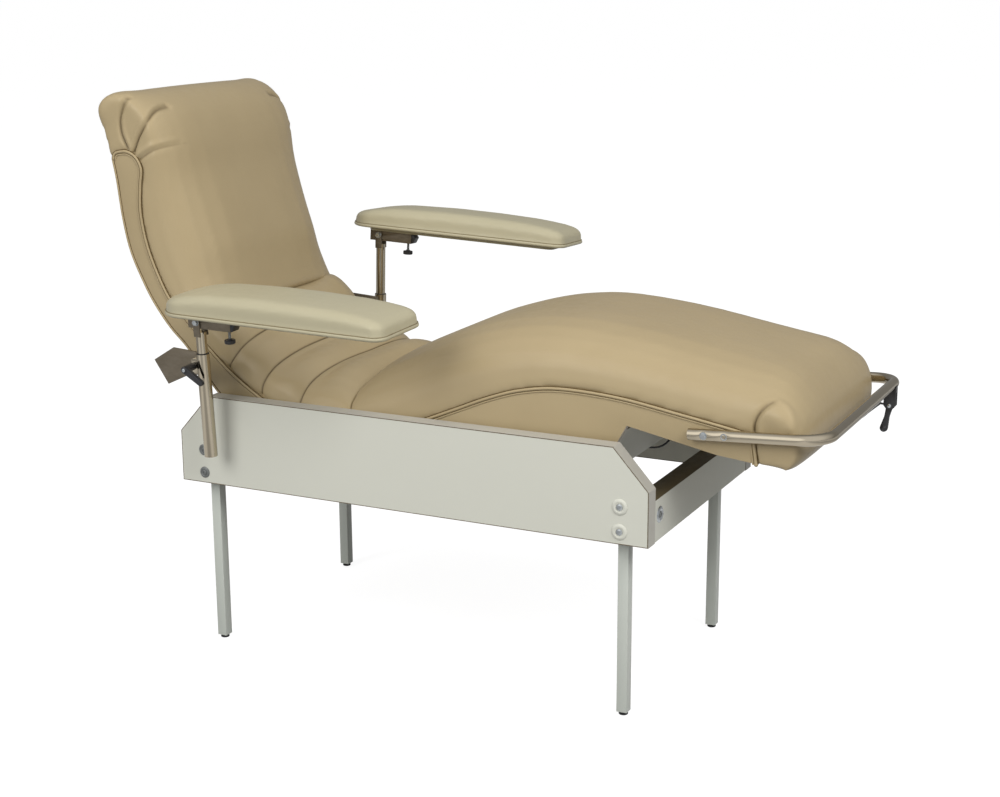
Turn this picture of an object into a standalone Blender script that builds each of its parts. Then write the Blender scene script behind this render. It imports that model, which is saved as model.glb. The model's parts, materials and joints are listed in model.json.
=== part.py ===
"""Blood donor bed: a contoured lounge that tilts on a panelled frame and carries two adjustable arms.

Units are metres. +Z is up, +X runs from the head end to the foot end and +Y is the donor's left.
Every piece hangs from an empty on the axis that it moves about, and the first empty, bed_datum,
puts the floor under the middle of the bed at the world's origin.
"""
from math import atan2, cos, pi, radians, sin

import bmesh
import bpy
from mathutils import Matrix, Vector

MM = 0.001
INCH = 0.0254

# Clearances
SEAT_GAP = 0.3 * MM          # between pieces that rest on or bolt to each other
RUN_GAP = 0.35 * MM          # between pieces that turn or slide in each other
EYE_GAP = 1.8 * MM           # slack of the gas spring's upper eye on its pin

# Frame of four edge-banded panels
PANEL_LENGTH = 1231 * MM
PANEL_THICKNESS = 41 * MM
PANEL_BOTTOM = 424 * MM
PANEL_HEIGHT = 219 * MM
PANEL_CHAMFER_RUN = 84 * MM
PANEL_CHAMFER_DROP = 93 * MM
FRAME_WIDTH = 705 * MM
CROSS_PANEL_HEIGHT = 96 * MM
CROSS_PANEL_THICKNESS = 50 * MM

# Square tube legs with screw glides
LEG_SIDE = 1.0 * INCH
LEG_WALL = 1.6 * MM
LEG_INSET = 51 * MM          # from a panel's end to the near face of its leg
FOOT_LEG_SETBACK = 10 * MM   # the foot legs stand this much further in
LEG_PLUG = 18 * MM
GLIDE_RADIUS = 11 * MM
GLIDE_PAD = 5 * MM
GLIDE_SHOWN = 8 * MM         # floor to leg
GLIDE_STUD_RADIUS = 4 * MM
GLIDE_STUD_LENGTH = 26 * MM

# Tilt axis of the lounge
PIVOT_X = 350 * MM
PIVOT_ABOVE_PANEL_BOTTOM = 141 * MM
PIVOT_PIN_RADIUS = 8 * MM
PIVOT_PLATE_LENGTH = 90 * MM
PIVOT_PLATE_HEIGHT = 66 * MM
PIVOT_PLATE_THICKNESS = 8 * MM

# Lounge body
LOUNGE_SIDE_GAP = 11.5 * MM  # side board to side panel
BOARD_THICKNESS = 20 * MM
DECK_THICKNESS = 12 * MM
STATION_STEPS = 3            # stations between two rows of the profile
CROWN_POWER = 5.0            # how square the cushions' cross-section is
CHANNEL_DEPTH = 15 * MM
CHANNELS = 4
ACROSS = (0.0, 0.3, 0.55, 0.73, 0.85, 0.93, 0.98, 1.0)

# The profile's rows: base x, z on the welt line, crown x, z on the centre line and the share of the
# crown's height that the cushion has at its sides. Millimetres from the tilt axis.
BACK_ROWS = (
    (-556, 635, -566, 640, 0.70),
    (-554, 645, -577, 690, 0.82),
    (-546, 654, -588, 755, 0.91),
    (-530, 658, -564, 790, 0.91),
    (-510, 659, -515, 798, 0.87),
    (-489, 651, -466, 784, 0.76),
    (-474, 636, -419, 742, 0.56),
    (-465, 611, -386, 676, 0.28),
    (-470, 575, -365, 602, 0.14),
    (-474, 510, -336, 520, 0.10),
    (-461, 435, -317, 465, 0.10),
    (-437, 370, -303, 420, 0.10),
    (-403, 305, -294, 370, 0.10),
    (-364, 265, -284, 328, 0.10),
    (-330, 230, -270, 285, 0.10),
)
SEAT_ROWS = (
    (-330, 230, -270, 285, 0.10),
    (-291, 189, -225, 250, 0.10),
    (-243, 145, -183, 226, 0.10),
    (-200, 113, -139, 199, 0.10),
    (-144, 78, -95, 178, 0.10),
    (-95, 55, -51, 161, 0.10),
    (-38, 36, -7, 150, 0.10),
    (30, 22, 45, 142, 0.10),
    (95, 20, 94, 126, 0.10),
)
LEG_ROWS = (
    (95, 20, 94, 126, 0.10),
    (150, 27, 135, 160, 0.10),
    (240, 50, 206, 198, 0.10),
    (314, 80, 273, 229, 0.10),
    (387, 111, 354, 264, 0.10),
    (470, 146, 450, 293, 0.10),
    (552, 172, 543, 309, 0.10),
    (647, 185, 645, 313, 0.10),
    (787, 179, 790, 300, 0.10),
    (938, 156, 942, 277, 0.10),
    (1040, 139, 1050, 257, 0.12),
    (1090, 129, 1128, 238, 0.30),
    (1099, 125, 1172, 208, 0.55),
    (1101, 107, 1201, 170, 0.70),
    (1104, 85, 1211, 127, 0.74),
    (1106, 71, 1204, 80, 0.80),
    (1107, 63, 1180, 53, 0.82),
)
# Rear and underside of the side boards, from the head down and on to the foot
REAR_LINE = ((-556, 635), (-546, 582), (-534, 489), (-515, 408), (-480, 332), (-449, 280), (-406, 226),
             (-357, 179), (-287, 92), (-240, 45), (-190, -2))
SEAT_BOX_BOTTOM = -35 * MM
SEAT_BOX_REAR = -155 * MM
SEAT_BOX_FRONT = 724 * MM
LEG_STEP = (807, 114)        # top of the seat box's front wall
UNDER_LINE = (LEG_STEP, (939, 87), (1013, 73), (1107, 63))

# Stops under the seat box
STOP_LENGTH = 40 * MM
STOP_HEIGHT = 35 * MM
STOP_FROM_FRONT = 65 * MM

# Lockable gas spring between frame and lounge
SPRING_FOOT_DROP = 125 * MM  # lower eye below the tilt axis
SPRING_HEAD = (255 * MM, -53 * MM)
SPRING_PIN_RADIUS = 5 * MM
SPRING_EYE_RADIUS = 11 * MM
SPRING_EYE_WIDTH = 12 * MM
SPRING_BARREL_RADIUS = 14 * MM
SPRING_BARREL_LENGTH = 160 * MM
SPRING_BORE_DEPTH = 110 * MM
SPRING_ROD_RADIUS = 5 * MM
SPRING_ROD_INSERTED = 62 * MM
RAIL_SIDE = 25 * MM          # square tubes that carry the gas spring
RAIL_WALL = 2 * MM
RAIL_OFFSET = 30 * MM        # tube centre to the pin
EAR_THICKNESS = 5 * MM

# Foot handle
HANDLE_RADIUS = 0.5 * INCH
HANDLE_WALL = 1.8 * MM
HANDLE_START = (955 * MM, 116 * MM)
HANDLE_END = (1254 * MM, 133 * MM)
HANDLE_BEND = 60 * MM

# Release lever under the handle
LEVER_INSET = 78 * MM        # lever from the middle of the handle's side
LEVER_DROP = 47 * MM         # handle's centre to the lever's pin
LEVER_LENGTH = 58 * MM
LEVER_THICKNESS = 10 * MM
LEVER_RADIUS = 9 * MM
LEVER_LEAN = radians(-12)
LEVER_PIN_RADIUS = 3 * MM
BRACKET_LENGTH = 28 * MM
CHEEK_THICKNESS = 4 * MM
CABLE_RADIUS = 2.5 * MM
CABLE_CLEAR = 2.5 * MM       # cable from the seat box that it runs under
CABLE_SAG = 12 * MM          # cable below the leg rest
CABLE_STEP = 26 * MM         # cable before the seat box's front wall
CABLE_FALL = 44 * MM         # cable's start below the middle of the handle
CABLE_RUN_OUT = 40 * MM      # straight end at the gas spring
CABLE_TURN = 185 * MM        # where the cable meets the middle line, from the gas spring's eye

# Arm supports
ARM_X = -226 * MM            # post from the tilt axis
ARM_BASE = -65 * MM          # foot of the post's axis above the tilt axis
ARM_STANDOFF = 51.8 * MM     # post's foot from the frame's side
ARM_LEAN = radians(3.2)      # posts lean outwards
ARM_SWING = radians(3.5)     # arms swung outwards
ARM_HEIGHT = {"right": 347.5 * MM, "left": 433.5 * MM}
ARM_TILT = {"right": radians(0), "left": radians(-2.5)}
ARM_NOSE_UP = radians(20)    # tilt that the fork leaves room for
ARM_NOSE_DOWN = radians(5)
SLEEVE_RADIUS = 0.625 * INCH
SLEEVE_WALL = 1.6 * MM
SLEEVE_LOW = 13 * MM
SLEEVE_HIGH = 268 * MM
SLIT_WIDTH = 3 * MM
SLIT_LENGTH = 118 * MM
LUG_HEIGHT = 38 * MM
LUG_BELOW_TOP = 12 * MM
LUG_REACH = 15 * MM
LUG_THICKNESS = 5 * MM
BRACKET_PLATE = 6 * MM
BRACKET_OUTLINE = ((-99, 269), (-157, 234), (-121, 176), (-56, 206), (2, 210), (2, 263))
ARM_TUBE_SIDE = 32 * MM
ARM_TUBE_WALL = 2.5 * MM
ARM_TUBE_HEIGHT = 163 * MM   # of the tube's rest on the rear line, above the tilt axis

# Posts and what they carry
POST_RADIUS = 0.5 * INCH
POST_WALL = 2 * MM
POST_LENGTH = 300 * MM
BUSH_LENGTH = 60 * MM
BUSH_FLANGE = 2 * MM
FORK_LENGTH = 40 * MM
FORK_PLATE = 3 * MM
FORK_FLOOR = 25 * MM         # pivot bolt above the fork's floor
ARM_RAIL_WIDTH = 25 * MM
ARM_RAIL_HEIGHT = 30 * MM
ARM_RAIL_WALL = 2 * MM
ARM_RAIL_BEHIND = 26 * MM
ARM_RAIL_AHEAD = 98 * MM
ARM_CAP_LENGTH = 13 * MM
ARM_BOLT_RADIUS = 4 * MM
SCREW_AHEAD = 85 * MM
SCREW_RADIUS = 3.5 * MM
SCREW_SHOWN = 21 * MM
KNOB_RADIUS = 13 * MM
KNOB_HEIGHT = 10 * MM
PAD_WIDTH = 174 * MM
PAD_AHEAD = 566 * MM
PAD_BEHIND = 62 * MM
PAD_FRONT_RADIUS = 26 * MM
PAD_REAR_RADIUS = 66 * MM
PAD_THICKNESS = 65 * MM
PAD_FRONT_THICKNESS = 57 * MM
PAD_REAR_THICKNESS = 42 * MM
PAD_PEAK = 0.36              # share of its length at which a pad is thickest
PAD_SKIRT = 9 * MM
ARM_BOARD_THICKNESS = 12 * MM
ARM_BOARD_INSET = 42 * MM

# Clamp levers
HUB_LENGTH = 42 * MM
HUB_RADIUS = 9 * MM
CLAMP_REACH = 58 * MM
CLAMP_DROOP = radians(-34)
CLAMP_SCREW_RADIUS = 3.5 * MM

# Derived places
FRAME_HALF = FRAME_WIDTH / 2
PANEL_INNER = FRAME_HALF - PANEL_THICKNESS
PANEL_TOP = PANEL_BOTTOM + PANEL_HEIGHT
PIVOT_Z = PANEL_BOTTOM + PIVOT_ABOVE_PANEL_BOTTOM
LOUNGE_HALF = PANEL_INNER - LOUNGE_SIDE_GAP
BOARD_INNER = LOUNGE_HALF - BOARD_THICKNESS
INSIDE_HALF = BOARD_INNER - SEAT_GAP
HANDLE_Y = LOUNGE_HALF + HANDLE_RADIUS + SEAT_GAP
LEVER_Y = HANDLE_Y - LEVER_INSET
CENTRE_X = PIVOT_X + (min(row[2] for row in BACK_ROWS) * MM + HANDLE_END[0] + HANDLE_RADIUS) / 2
SIDES = (("right", -1), ("left", 1))


def clear_scene():
    """Remove every object of the scene that is open."""
    for item in list(bpy.data.objects):
        bpy.data.objects.remove(item, do_unlink=True)


def finish(name, red, green, blue, roughness, metallic=0.0):
    """Return a Principled material of one linear colour."""
    made = bpy.data.materials.new(name)
    made.use_nodes = True
    shader = made.node_tree.nodes["Principled BSDF"]
    shader.inputs["Base Color"].default_value = (red, green, blue, 1.0)
    shader.inputs["Roughness"].default_value = roughness
    shader.inputs["Metallic"].default_value = metallic
    made.diffuse_color = (red, green, blue, 1.0)
    return made


def empty(name, parent=None, place=(0, 0, 0), turn=(0, 0, 0)):
    """Return an empty at a place and turn under its parent."""
    made = bpy.data.objects.new(name, None)
    bpy.context.scene.collection.objects.link(made)
    made.parent = parent
    made.location = place
    made.rotation_euler = turn
    return made


def piece(name, mesh, look, parent, place=(0, 0, 0), turn=(0, 0, 0)):
    """Turn a bmesh into a named object with its material, under its parent."""
    bmesh.ops.recalc_face_normals(mesh, faces=mesh.faces)
    data = bpy.data.meshes.new(name)
    mesh.to_mesh(data)
    mesh.free()
    data.materials.append(look)
    data.shade_smooth()
    data.set_sharp_from_angle(angle=radians(35))
    made = bpy.data.objects.new(name, data)
    bpy.context.scene.collection.objects.link(made)
    made.parent = parent
    made.location = place
    made.rotation_euler = turn
    return made


def joined(base, tool, operation):
    """Return base with tool united with it or cut from it, as a new bmesh."""
    made = []
    for mesh in (base, tool):
        bmesh.ops.recalc_face_normals(mesh, faces=mesh.faces)
        data = bpy.data.meshes.new("work")
        mesh.to_mesh(data)
        mesh.free()
        item = bpy.data.objects.new("work", data)
        bpy.context.scene.collection.objects.link(item)
        made.append(item)
    modifier = made[0].modifiers.new("work", "BOOLEAN")
    modifier.operation = operation
    modifier.solver = "EXACT"
    modifier.object = made[1]
    graph = bpy.context.evaluated_depsgraph_get()
    graph.update()
    result = bmesh.new()
    result.from_mesh(made[0].evaluated_get(graph).to_mesh())
    bmesh.ops.remove_doubles(result, verts=result.verts, dist=1e-6)
    bmesh.ops.dissolve_degenerate(result, edges=result.edges, dist=1e-6)
    for item in made:
        data = item.data
        bpy.data.objects.remove(item, do_unlink=True)
        bpy.data.meshes.remove(data)
    return result


def cut(base, tool):
    """Return base with tool cut out of it."""
    return joined(base, tool, "DIFFERENCE")


def unite(base, tool):
    """Return base and tool as one body."""
    return joined(base, tool, "UNION")


def prism(outline, low, high):
    """Extrude an outline of x, z points from y = low to y = high."""
    mesh = bmesh.new()
    face = mesh.faces.new([mesh.verts.new((x, low, z)) for x, z in outline])
    grown = bmesh.ops.extrude_face_region(mesh, geom=[face])
    moved = [item for item in grown["geom"] if isinstance(item, bmesh.types.BMVert)]
    bmesh.ops.translate(mesh, verts=moved, vec=(0, high - low, 0))
    return mesh


def block(low, high):
    """Return a box between two corners."""
    outline = ((low[0], low[2]), (high[0], low[2]), (high[0], high[2]), (low[0], high[2]))
    return prism(outline, low[1], high[1])


def turned(profile, steps, closed=False):
    """Spin a profile of radius, z points about Z; a closed profile makes a ring."""
    mesh = bmesh.new()
    points = [mesh.verts.new((radius, 0, z)) for radius, z in profile]
    pairs = list(zip(points, points[1:]))
    if closed:
        pairs.append((points[-1], points[0]))
    edges = [mesh.edges.new(pair) for pair in pairs]
    bmesh.ops.spin(mesh, geom=points + edges, cent=(0, 0, 0), axis=(0, 0, 1), angle=2 * pi,
                   steps=steps, use_merge=True)
    bmesh.ops.remove_doubles(mesh, verts=mesh.verts, dist=1e-7)
    return mesh


def rod(radius, low, high, steps=16):
    """Return a round bar along Z."""
    return turned(((0, low), (radius, low), (radius, high), (0, high)), steps)


def tube(outer, inner, low, high, steps=24):
    """Return a round tube along Z."""
    return turned(((outer, low), (outer, high), (inner, high), (inner, low)), steps, closed=True)


def moved(mesh, place=(0, 0, 0), turn=None):
    """Turn a bmesh by a matrix and shift it."""
    matrix = Matrix.Translation(place)
    if turn is not None:
        matrix = matrix @ turn
    bmesh.ops.transform(mesh, matrix=matrix, verts=mesh.verts)
    return mesh


ALONG_Y = Matrix.Rotation(-pi / 2, 4, "X")
ALONG_X = Matrix.Rotation(pi / 2, 4, "Y")


def bar_y(radius, low, high, x, z, steps=16):
    """Return a round bar along Y at x, z."""
    return moved(rod(radius, low, high, steps), (x, 0, z), ALONG_Y)


def loft(rings, inner=None):
    """Join rings of points into a closed body; inner rings make it a pipe."""
    mesh = bmesh.new()

    def skin(loops):
        rows = [[mesh.verts.new(point) for point in loop] for loop in loops]
        for first, second in zip(rows, rows[1:]):
            for index in range(len(first)):
                after = (index + 1) % len(first)
                mesh.faces.new((first[index], first[after], second[after], second[index]))
        return rows

    outside = skin(rings)
    if inner is None:
        mesh.faces.new(outside[0])
        mesh.faces.new(outside[-1])
        return mesh
    inside = skin(inner)
    for near, far in ((outside[0], inside[0]), (outside[-1], inside[-1])):
        for index in range(len(near)):
            after = (index + 1) % len(near)
            mesh.faces.new((near[index], near[after], far[after], far[index]))
    return mesh


def catmull(rows, steps):
    """Return points on a Catmull-Rom curve through rows of numbers, steps to a span."""
    rows = [Vector(row) for row in rows]
    padded = [2 * rows[0] - rows[1]] + rows + [2 * rows[-1] - rows[-2]]
    points = []
    for index in range(len(rows) - 1):
        before, start, end, after = padded[index:index + 4]
        for step in range(steps):
            t = step / steps
            points.append(0.5 * (2 * start + (end - before) * t
                                 + (2 * before - 5 * start + 4 * end - after) * t * t
                                 + (3 * start - before - 3 * end + after) * t ** 3))
    points.append(rows[-1])
    return points


def offset(points, distance):
    """Shift a path of x, z points to its right by a distance."""
    shifted = []
    for index, point in enumerate(points):
        ahead = Vector(points[min(index + 1, len(points) - 1)])
        behind = Vector(points[max(index - 1, 0)])
        way = (ahead - behind).normalized()
        shifted.append(Vector(point) + distance * Vector((way.y, -way.x)))
    return shifted


def in_metres(points):
    """Scale millimetre points of the profile to metres."""
    return [Vector(point) * MM for point in points]


def stations(rows):
    """Return base, side and crown points along one cushion."""
    made = []
    for row in catmull(rows, STATION_STEPS):
        base = Vector((row[0], row[1])) * MM
        crown = Vector((row[2], row[3])) * MM
        made.append((base, base.lerp(crown, row[4]), crown))
    return made


def welt_line(rows):
    """Return the base points along one cushion."""
    return [station[0] for station in stations(rows)]


def cushion(rows, channels=0):
    """Loft a crowned cushion across the lounge, with sewn channels across it."""
    line = stations(rows)
    rings = []
    for index, (base, side, crown) in enumerate(line):
        groove = 0.0
        if channels:
            groove = CHANNEL_DEPTH * (1 - abs(sin(pi * channels * index / (len(line) - 1))) ** 0.6)
        top = crown - (crown - base).normalized() * groove
        ring = []
        for share in [-value for value in reversed(ACROSS)] + list(ACROSS[1:]):
            rise = (1 - abs(share) ** CROWN_POWER) ** 0.5
            point = side.lerp(top, rise)
            ring.append(Vector((point.x, share * LOUNGE_HALF, point.y)))
        ring += [Vector((base.x, LOUNGE_HALF, base.y)), Vector((base.x, -LOUNGE_HALF, base.y))]
        rings.append(ring)
    for end, neighbour in ((0, 1), (-1, -2)):
        way = line[neighbour][0] - line[end][0]
        shift = way.normalized() * (SEAT_GAP / 2)
        rings[end] = [point + Vector((shift.x, 0, shift.y)) for point in rings[end]]
    return loft(rings)


def strip(line, low, high, half):
    """Return a bent board between two offsets of a line, from -half to half across."""
    near = offset(line, low)
    far = offset(line, high)
    way = (Vector(line[1]) - Vector(line[0])).normalized() * (SEAT_GAP / 2)
    back = (Vector(line[-2]) - Vector(line[-1])).normalized() * (SEAT_GAP / 2)
    for path in (near, far):
        path[0] = path[0] + way
        path[-1] = path[-1] + back
    return prism(near + far[::-1], -half, half)


def square_tube(side, wall, half, x, z, turn=0.0):
    """Return a square tube along Y, turned about its own axis."""
    body = block((-side / 2, -half, -side / 2), (side / 2, half, side / 2))
    hole = side / 2 - wall
    body = cut(body, block((-hole, -half - wall, -hole), (hole, half + wall, hole)))
    return moved(body, (x, 0, z), Matrix.Rotation(turn, 4, "Y"))


def build_frame(parent, looks):
    """Make the panels, legs, glides, stops and tilt brackets."""
    chamfered = ((0, PANEL_BOTTOM), (PANEL_LENGTH, PANEL_BOTTOM),
                 (PANEL_LENGTH, PANEL_TOP - PANEL_CHAMFER_DROP),
                 (PANEL_LENGTH - PANEL_CHAMFER_RUN, PANEL_TOP), (PANEL_CHAMFER_RUN, PANEL_TOP),
                 (0, PANEL_TOP - PANEL_CHAMFER_DROP))
    cross_half = PANEL_INNER - SEAT_GAP
    cross_top = PANEL_BOTTOM + CROSS_PANEL_HEIGHT
    foot_start = PANEL_LENGTH - CROSS_PANEL_THICKNESS
    for name, start in (("head_cross_panel", 0), ("foot_cross_panel", foot_start)):
        end = start + CROSS_PANEL_THICKNESS
        body = block((start, -cross_half, PANEL_BOTTOM), (end, cross_half, cross_top))
        piece(name, body, looks["laminate"], parent)

    leg_top = PIVOT_Z + SEAT_BOX_BOTTOM - 4 * MM
    stop_top = PIVOT_Z + SEAT_BOX_BOTTOM - SEAT_GAP
    stop_end = PIVOT_X + SEAT_BOX_FRONT - STOP_FROM_FRONT
    foot_leg = PANEL_LENGTH - LEG_INSET - FOOT_LEG_SETBACK - LEG_SIDE
    legs = (("head", LEG_INSET + SEAT_GAP), ("foot", foot_leg))
    for side, sign in SIDES:
        faces = sorted((sign * PANEL_INNER, sign * FRAME_HALF))
        piece(side + "_side_panel", prism(chamfered, *faces), looks["laminate"], parent)

        for end, start in legs:
            middle_y = sign * (PANEL_INNER - SEAT_GAP - LEG_SIDE / 2)
            middle_x = start + LEG_SIDE / 2
            half = LEG_SIDE / 2
            leg = block((-half, -half, GLIDE_SHOWN), (half, half, leg_top))
            hollow = half - LEG_WALL
            plug_top = GLIDE_SHOWN + LEG_PLUG
            leg = cut(leg, block((-hollow, -hollow, plug_top), (hollow, hollow, leg_top + LEG_WALL)))
            stud_hole = rod(GLIDE_STUD_RADIUS + RUN_GAP, GLIDE_SHOWN - LEG_WALL, plug_top + LEG_WALL)
            leg = cut(leg, stud_hole)
            piece(f"{end}_{side}_leg", leg, looks["leg paint"], parent, (middle_x, middle_y, 0))
            glide = turned(((0, 0), (GLIDE_RADIUS * 0.9, 0), (GLIDE_RADIUS, GLIDE_PAD * 0.3),
                            (GLIDE_RADIUS, GLIDE_PAD * 0.7), (GLIDE_STUD_RADIUS * 1.6, GLIDE_PAD),
                            (GLIDE_STUD_RADIUS, GLIDE_PAD),
                            (GLIDE_STUD_RADIUS, GLIDE_STUD_LENGTH + GLIDE_PAD),
                            (0, GLIDE_STUD_LENGTH + GLIDE_PAD)), 16)
            piece(f"{end}_{side}_glide", glide, looks["black plastic"], parent, (middle_x, middle_y, 0))

        stop = sorted((sign * (PANEL_INNER - SEAT_GAP), sign * BOARD_INNER))
        stop_start = stop_end - STOP_LENGTH
        body = block((stop_start, stop[0], stop_top - STOP_HEIGHT), (stop_end, stop[1], stop_top))
        piece(side + "_stop_block", body, looks["rubber"], parent)

        plate_out = sign * (PANEL_INNER - SEAT_GAP)
        plate = sorted((plate_out, plate_out - sign * PIVOT_PLATE_THICKNESS))
        half_x, half_z = PIVOT_PLATE_LENGTH / 2, PIVOT_PLATE_HEIGHT / 2
        body = block((PIVOT_X - half_x, plate[0], PIVOT_Z - half_z),
                     (PIVOT_X + half_x, plate[1], PIVOT_Z + half_z))
        pin = sorted((plate_out - sign * PIVOT_PLATE_THICKNESS / 2, sign * (BOARD_INNER - PIVOT_PIN_RADIUS)))
        body = unite(body, bar_y(PIVOT_PIN_RADIUS, pin[0], pin[1], PIVOT_X, PIVOT_Z, 24))
        piece(side + "_pivot_bracket", body, looks["zinc"], parent)


def ear_pair(outline, pin_x, pin_z):
    """Return two ears with the pin between them, over and under the gas spring's eye."""
    inner = SPRING_EYE_WIDTH / 2 + RUN_GAP
    outer = inner + EAR_THICKNESS
    ears = [prism(outline, inner, outer), prism(outline, -outer, -inner)]
    pin = bar_y(SPRING_PIN_RADIUS, -inner - EAR_THICKNESS / 2, inner + EAR_THICKNESS / 2, pin_x, pin_z)
    return unite(unite(ears[0], pin), ears[1])


def build_gas_spring(frame, lounge, looks):
    """Make the gas spring with the tubes that carry its two ends."""
    foot = Vector((PIVOT_X, PIVOT_Z - SPRING_FOOT_DROP))
    reach = SPRING_EYE_RADIUS
    bar_x = foot.x - RAIL_OFFSET
    ears = ((bar_x, foot.y - reach), (foot.x + reach * 0.6, foot.y - reach), (foot.x + reach, foot.y),
            (foot.x + reach * 0.6, foot.y + reach), (bar_x, foot.y + reach))
    bar = unite(square_tube(RAIL_SIDE, RAIL_WALL, PANEL_INNER - SEAT_GAP, bar_x, foot.y),
                cut(ear_pair(ears, foot.x, foot.y), block_inside_tube(bar_x, foot.y)))
    piece("spring_cross_bar", bar, looks["leg paint"], frame)

    head_x, head_z = SPRING_HEAD
    rail_z = head_z + RAIL_OFFSET
    ears = ((head_x - reach, rail_z), (head_x - reach, head_z), (head_x - reach * 0.6, head_z - reach),
            (head_x + reach * 0.6, head_z - reach), (head_x + reach, head_z), (head_x + reach, rail_z))
    rail = unite(square_tube(RAIL_SIDE, RAIL_WALL, INSIDE_HALF, head_x, rail_z),
                 cut(ear_pair(ears, head_x, head_z), block_inside_tube(head_x, rail_z)))
    piece("lift_rail", rail, looks["leg paint"], lounge)

    head = Vector((PIVOT_X + head_x, PIVOT_Z + head_z))
    length = (head - foot).length
    slope = atan2(head.y - foot.y, head.x - foot.x)
    axis = empty("gas_spring_axis", frame, (foot.x, 0, foot.y), (0, -slope, 0))
    half = SPRING_EYE_WIDTH / 2
    neck = half * 0.9
    neck_start = SPRING_EYE_RADIUS * 0.7
    barrel_start = SPRING_EYE_RADIUS * 1.5
    barrel_end = barrel_start + SPRING_BARREL_LENGTH
    bore = SPRING_ROD_RADIUS + RUN_GAP
    barrel = moved(turned(((0, neck_start), (neck, neck_start), (neck, barrel_start),
                           (SPRING_BARREL_RADIUS, barrel_start), (SPRING_BARREL_RADIUS, barrel_end),
                           (bore, barrel_end), (bore, barrel_end - SPRING_BORE_DEPTH),
                           (0, barrel_end - SPRING_BORE_DEPTH)), 20),
                   turn=ALONG_X)
    eye = bar_y(SPRING_EYE_RADIUS, -half, half, 0, 0, 20)
    barrel = cut(unite(barrel, eye), bar_y(SPRING_PIN_RADIUS + RUN_GAP, -half * 2, half * 2, 0, 0, 20))
    piece("gas_spring_barrel", barrel, looks["black paint"], axis)

    stem = moved(rod(SPRING_ROD_RADIUS, barrel_end - SPRING_ROD_INSERTED, length - SPRING_EYE_RADIUS * 0.6),
                 turn=ALONG_X)
    eye = bar_y(SPRING_EYE_RADIUS, -half, half, length, 0, 20)
    stem = cut(unite(stem, eye), bar_y(SPRING_PIN_RADIUS + EYE_GAP, -half * 2, half * 2, length, 0, 20))
    piece("gas_spring_rod", stem, looks["chrome"], axis)


def block_inside_tube(x, z):
    """Return a block that clears the bore of a square tube along Y."""
    half = RAIL_SIDE / 2 - RAIL_WALL / 2
    reach = SPRING_EYE_WIDTH + EAR_THICKNESS * 4
    return block((x - half, -reach, z - half), (x + half, reach, z + half))


def build_lounge(parent, looks):
    """Make the side boards, decks, panels and cushions of the lounge."""
    vinyl = looks["vinyl"]
    piece("back_cushion", cushion(BACK_ROWS), vinyl, parent)
    piece("seat_cushion", cushion(SEAT_ROWS, CHANNELS), vinyl, parent)
    piece("leg_cushion", cushion(LEG_ROWS), vinyl, parent)

    top = welt_line(BACK_ROWS) + welt_line(SEAT_ROWS)[1:] + welt_line(LEG_ROWS)[1:]
    rear = catmull(in_metres(REAR_LINE), STATION_STEPS)
    under = in_metres(UNDER_LINE)
    floor = [Vector((SEAT_BOX_REAR, SEAT_BOX_BOTTOM)), Vector((SEAT_BOX_FRONT, SEAT_BOX_BOTTOM))]
    outline = offset(top, SEAT_GAP)[1:-1] + under[::-1] + floor[::-1] + rear[::-1]
    pivot_hole = PIVOT_PIN_RADIUS + RUN_GAP
    for side, sign in SIDES:
        faces = sorted((sign * LOUNGE_HALF, sign * BOARD_INNER))
        board = prism(outline, *faces)
        reach = LOUNGE_HALF + BOARD_THICKNESS
        board = cut(board, bar_y(pivot_hole, -reach, reach, 0, 0, 24))
        piece(side + "_side_board", board, vinyl, parent)

    face_gap = SEAT_GAP * 2
    first = STATION_STEPS * 7
    decks = (("back_deck", welt_line(BACK_ROWS)[first:]), ("seat_deck", welt_line(SEAT_ROWS)),
             ("leg_deck", welt_line(LEG_ROWS)[:STATION_STEPS * 11 + 1]))
    for name, line in decks:
        piece(name, strip(line, face_gap, face_gap + DECK_THICKNESS, INSIDE_HALF), looks["plywood"], parent)
    piece("back_panel", strip(rear, -face_gap, -DECK_THICKNESS, INSIDE_HALF), vinyl, parent)
    end_board = under[-2].lerp(under[-1], 1 - DECK_THICKNESS / 2 / (under[-1] - under[-2]).length)
    under_panel = strip(under[:-1] + [end_board], -face_gap, -DECK_THICKNESS, INSIDE_HALF)
    piece("leg_under_panel", under_panel, vinyl, parent)
    wall = [Vector((SEAT_BOX_FRONT, SEAT_BOX_BOTTOM)), Vector(LEG_STEP) * MM]
    wall[1] = wall[1].lerp(wall[0], DECK_THICKNESS * 1.5 / (wall[1] - wall[0]).length)
    front_wall = strip(wall, -face_gap, -DECK_THICKNESS, INSIDE_HALF)
    piece("seat_front_wall", front_wall, looks["laminate"], parent)


def handle_path():
    """Return the centre line of the foot handle, from the right end round to the left."""
    run = Vector((HANDLE_END[0] - HANDLE_START[0], 0, HANDLE_END[1] - HANDLE_START[1])).normalized()
    points = [Vector((HANDLE_START[0], -HANDLE_Y, HANDLE_START[1]))]
    for sign in (-1, 1):
        centre = Vector((HANDLE_END[0], sign * (HANDLE_Y - HANDLE_BEND), HANDLE_END[1])) - run * HANDLE_BEND
        for step in range(9):
            turn = pi / 2 * (step / 8 if sign < 0 else 1 - step / 8)
            across = Vector((0, sign * HANDLE_BEND * cos(turn), 0))
            points.append(centre + run * (HANDLE_BEND * sin(turn)) + across)
    points.append(Vector((HANDLE_START[0], HANDLE_Y, HANDLE_START[1])))
    return points


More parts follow.
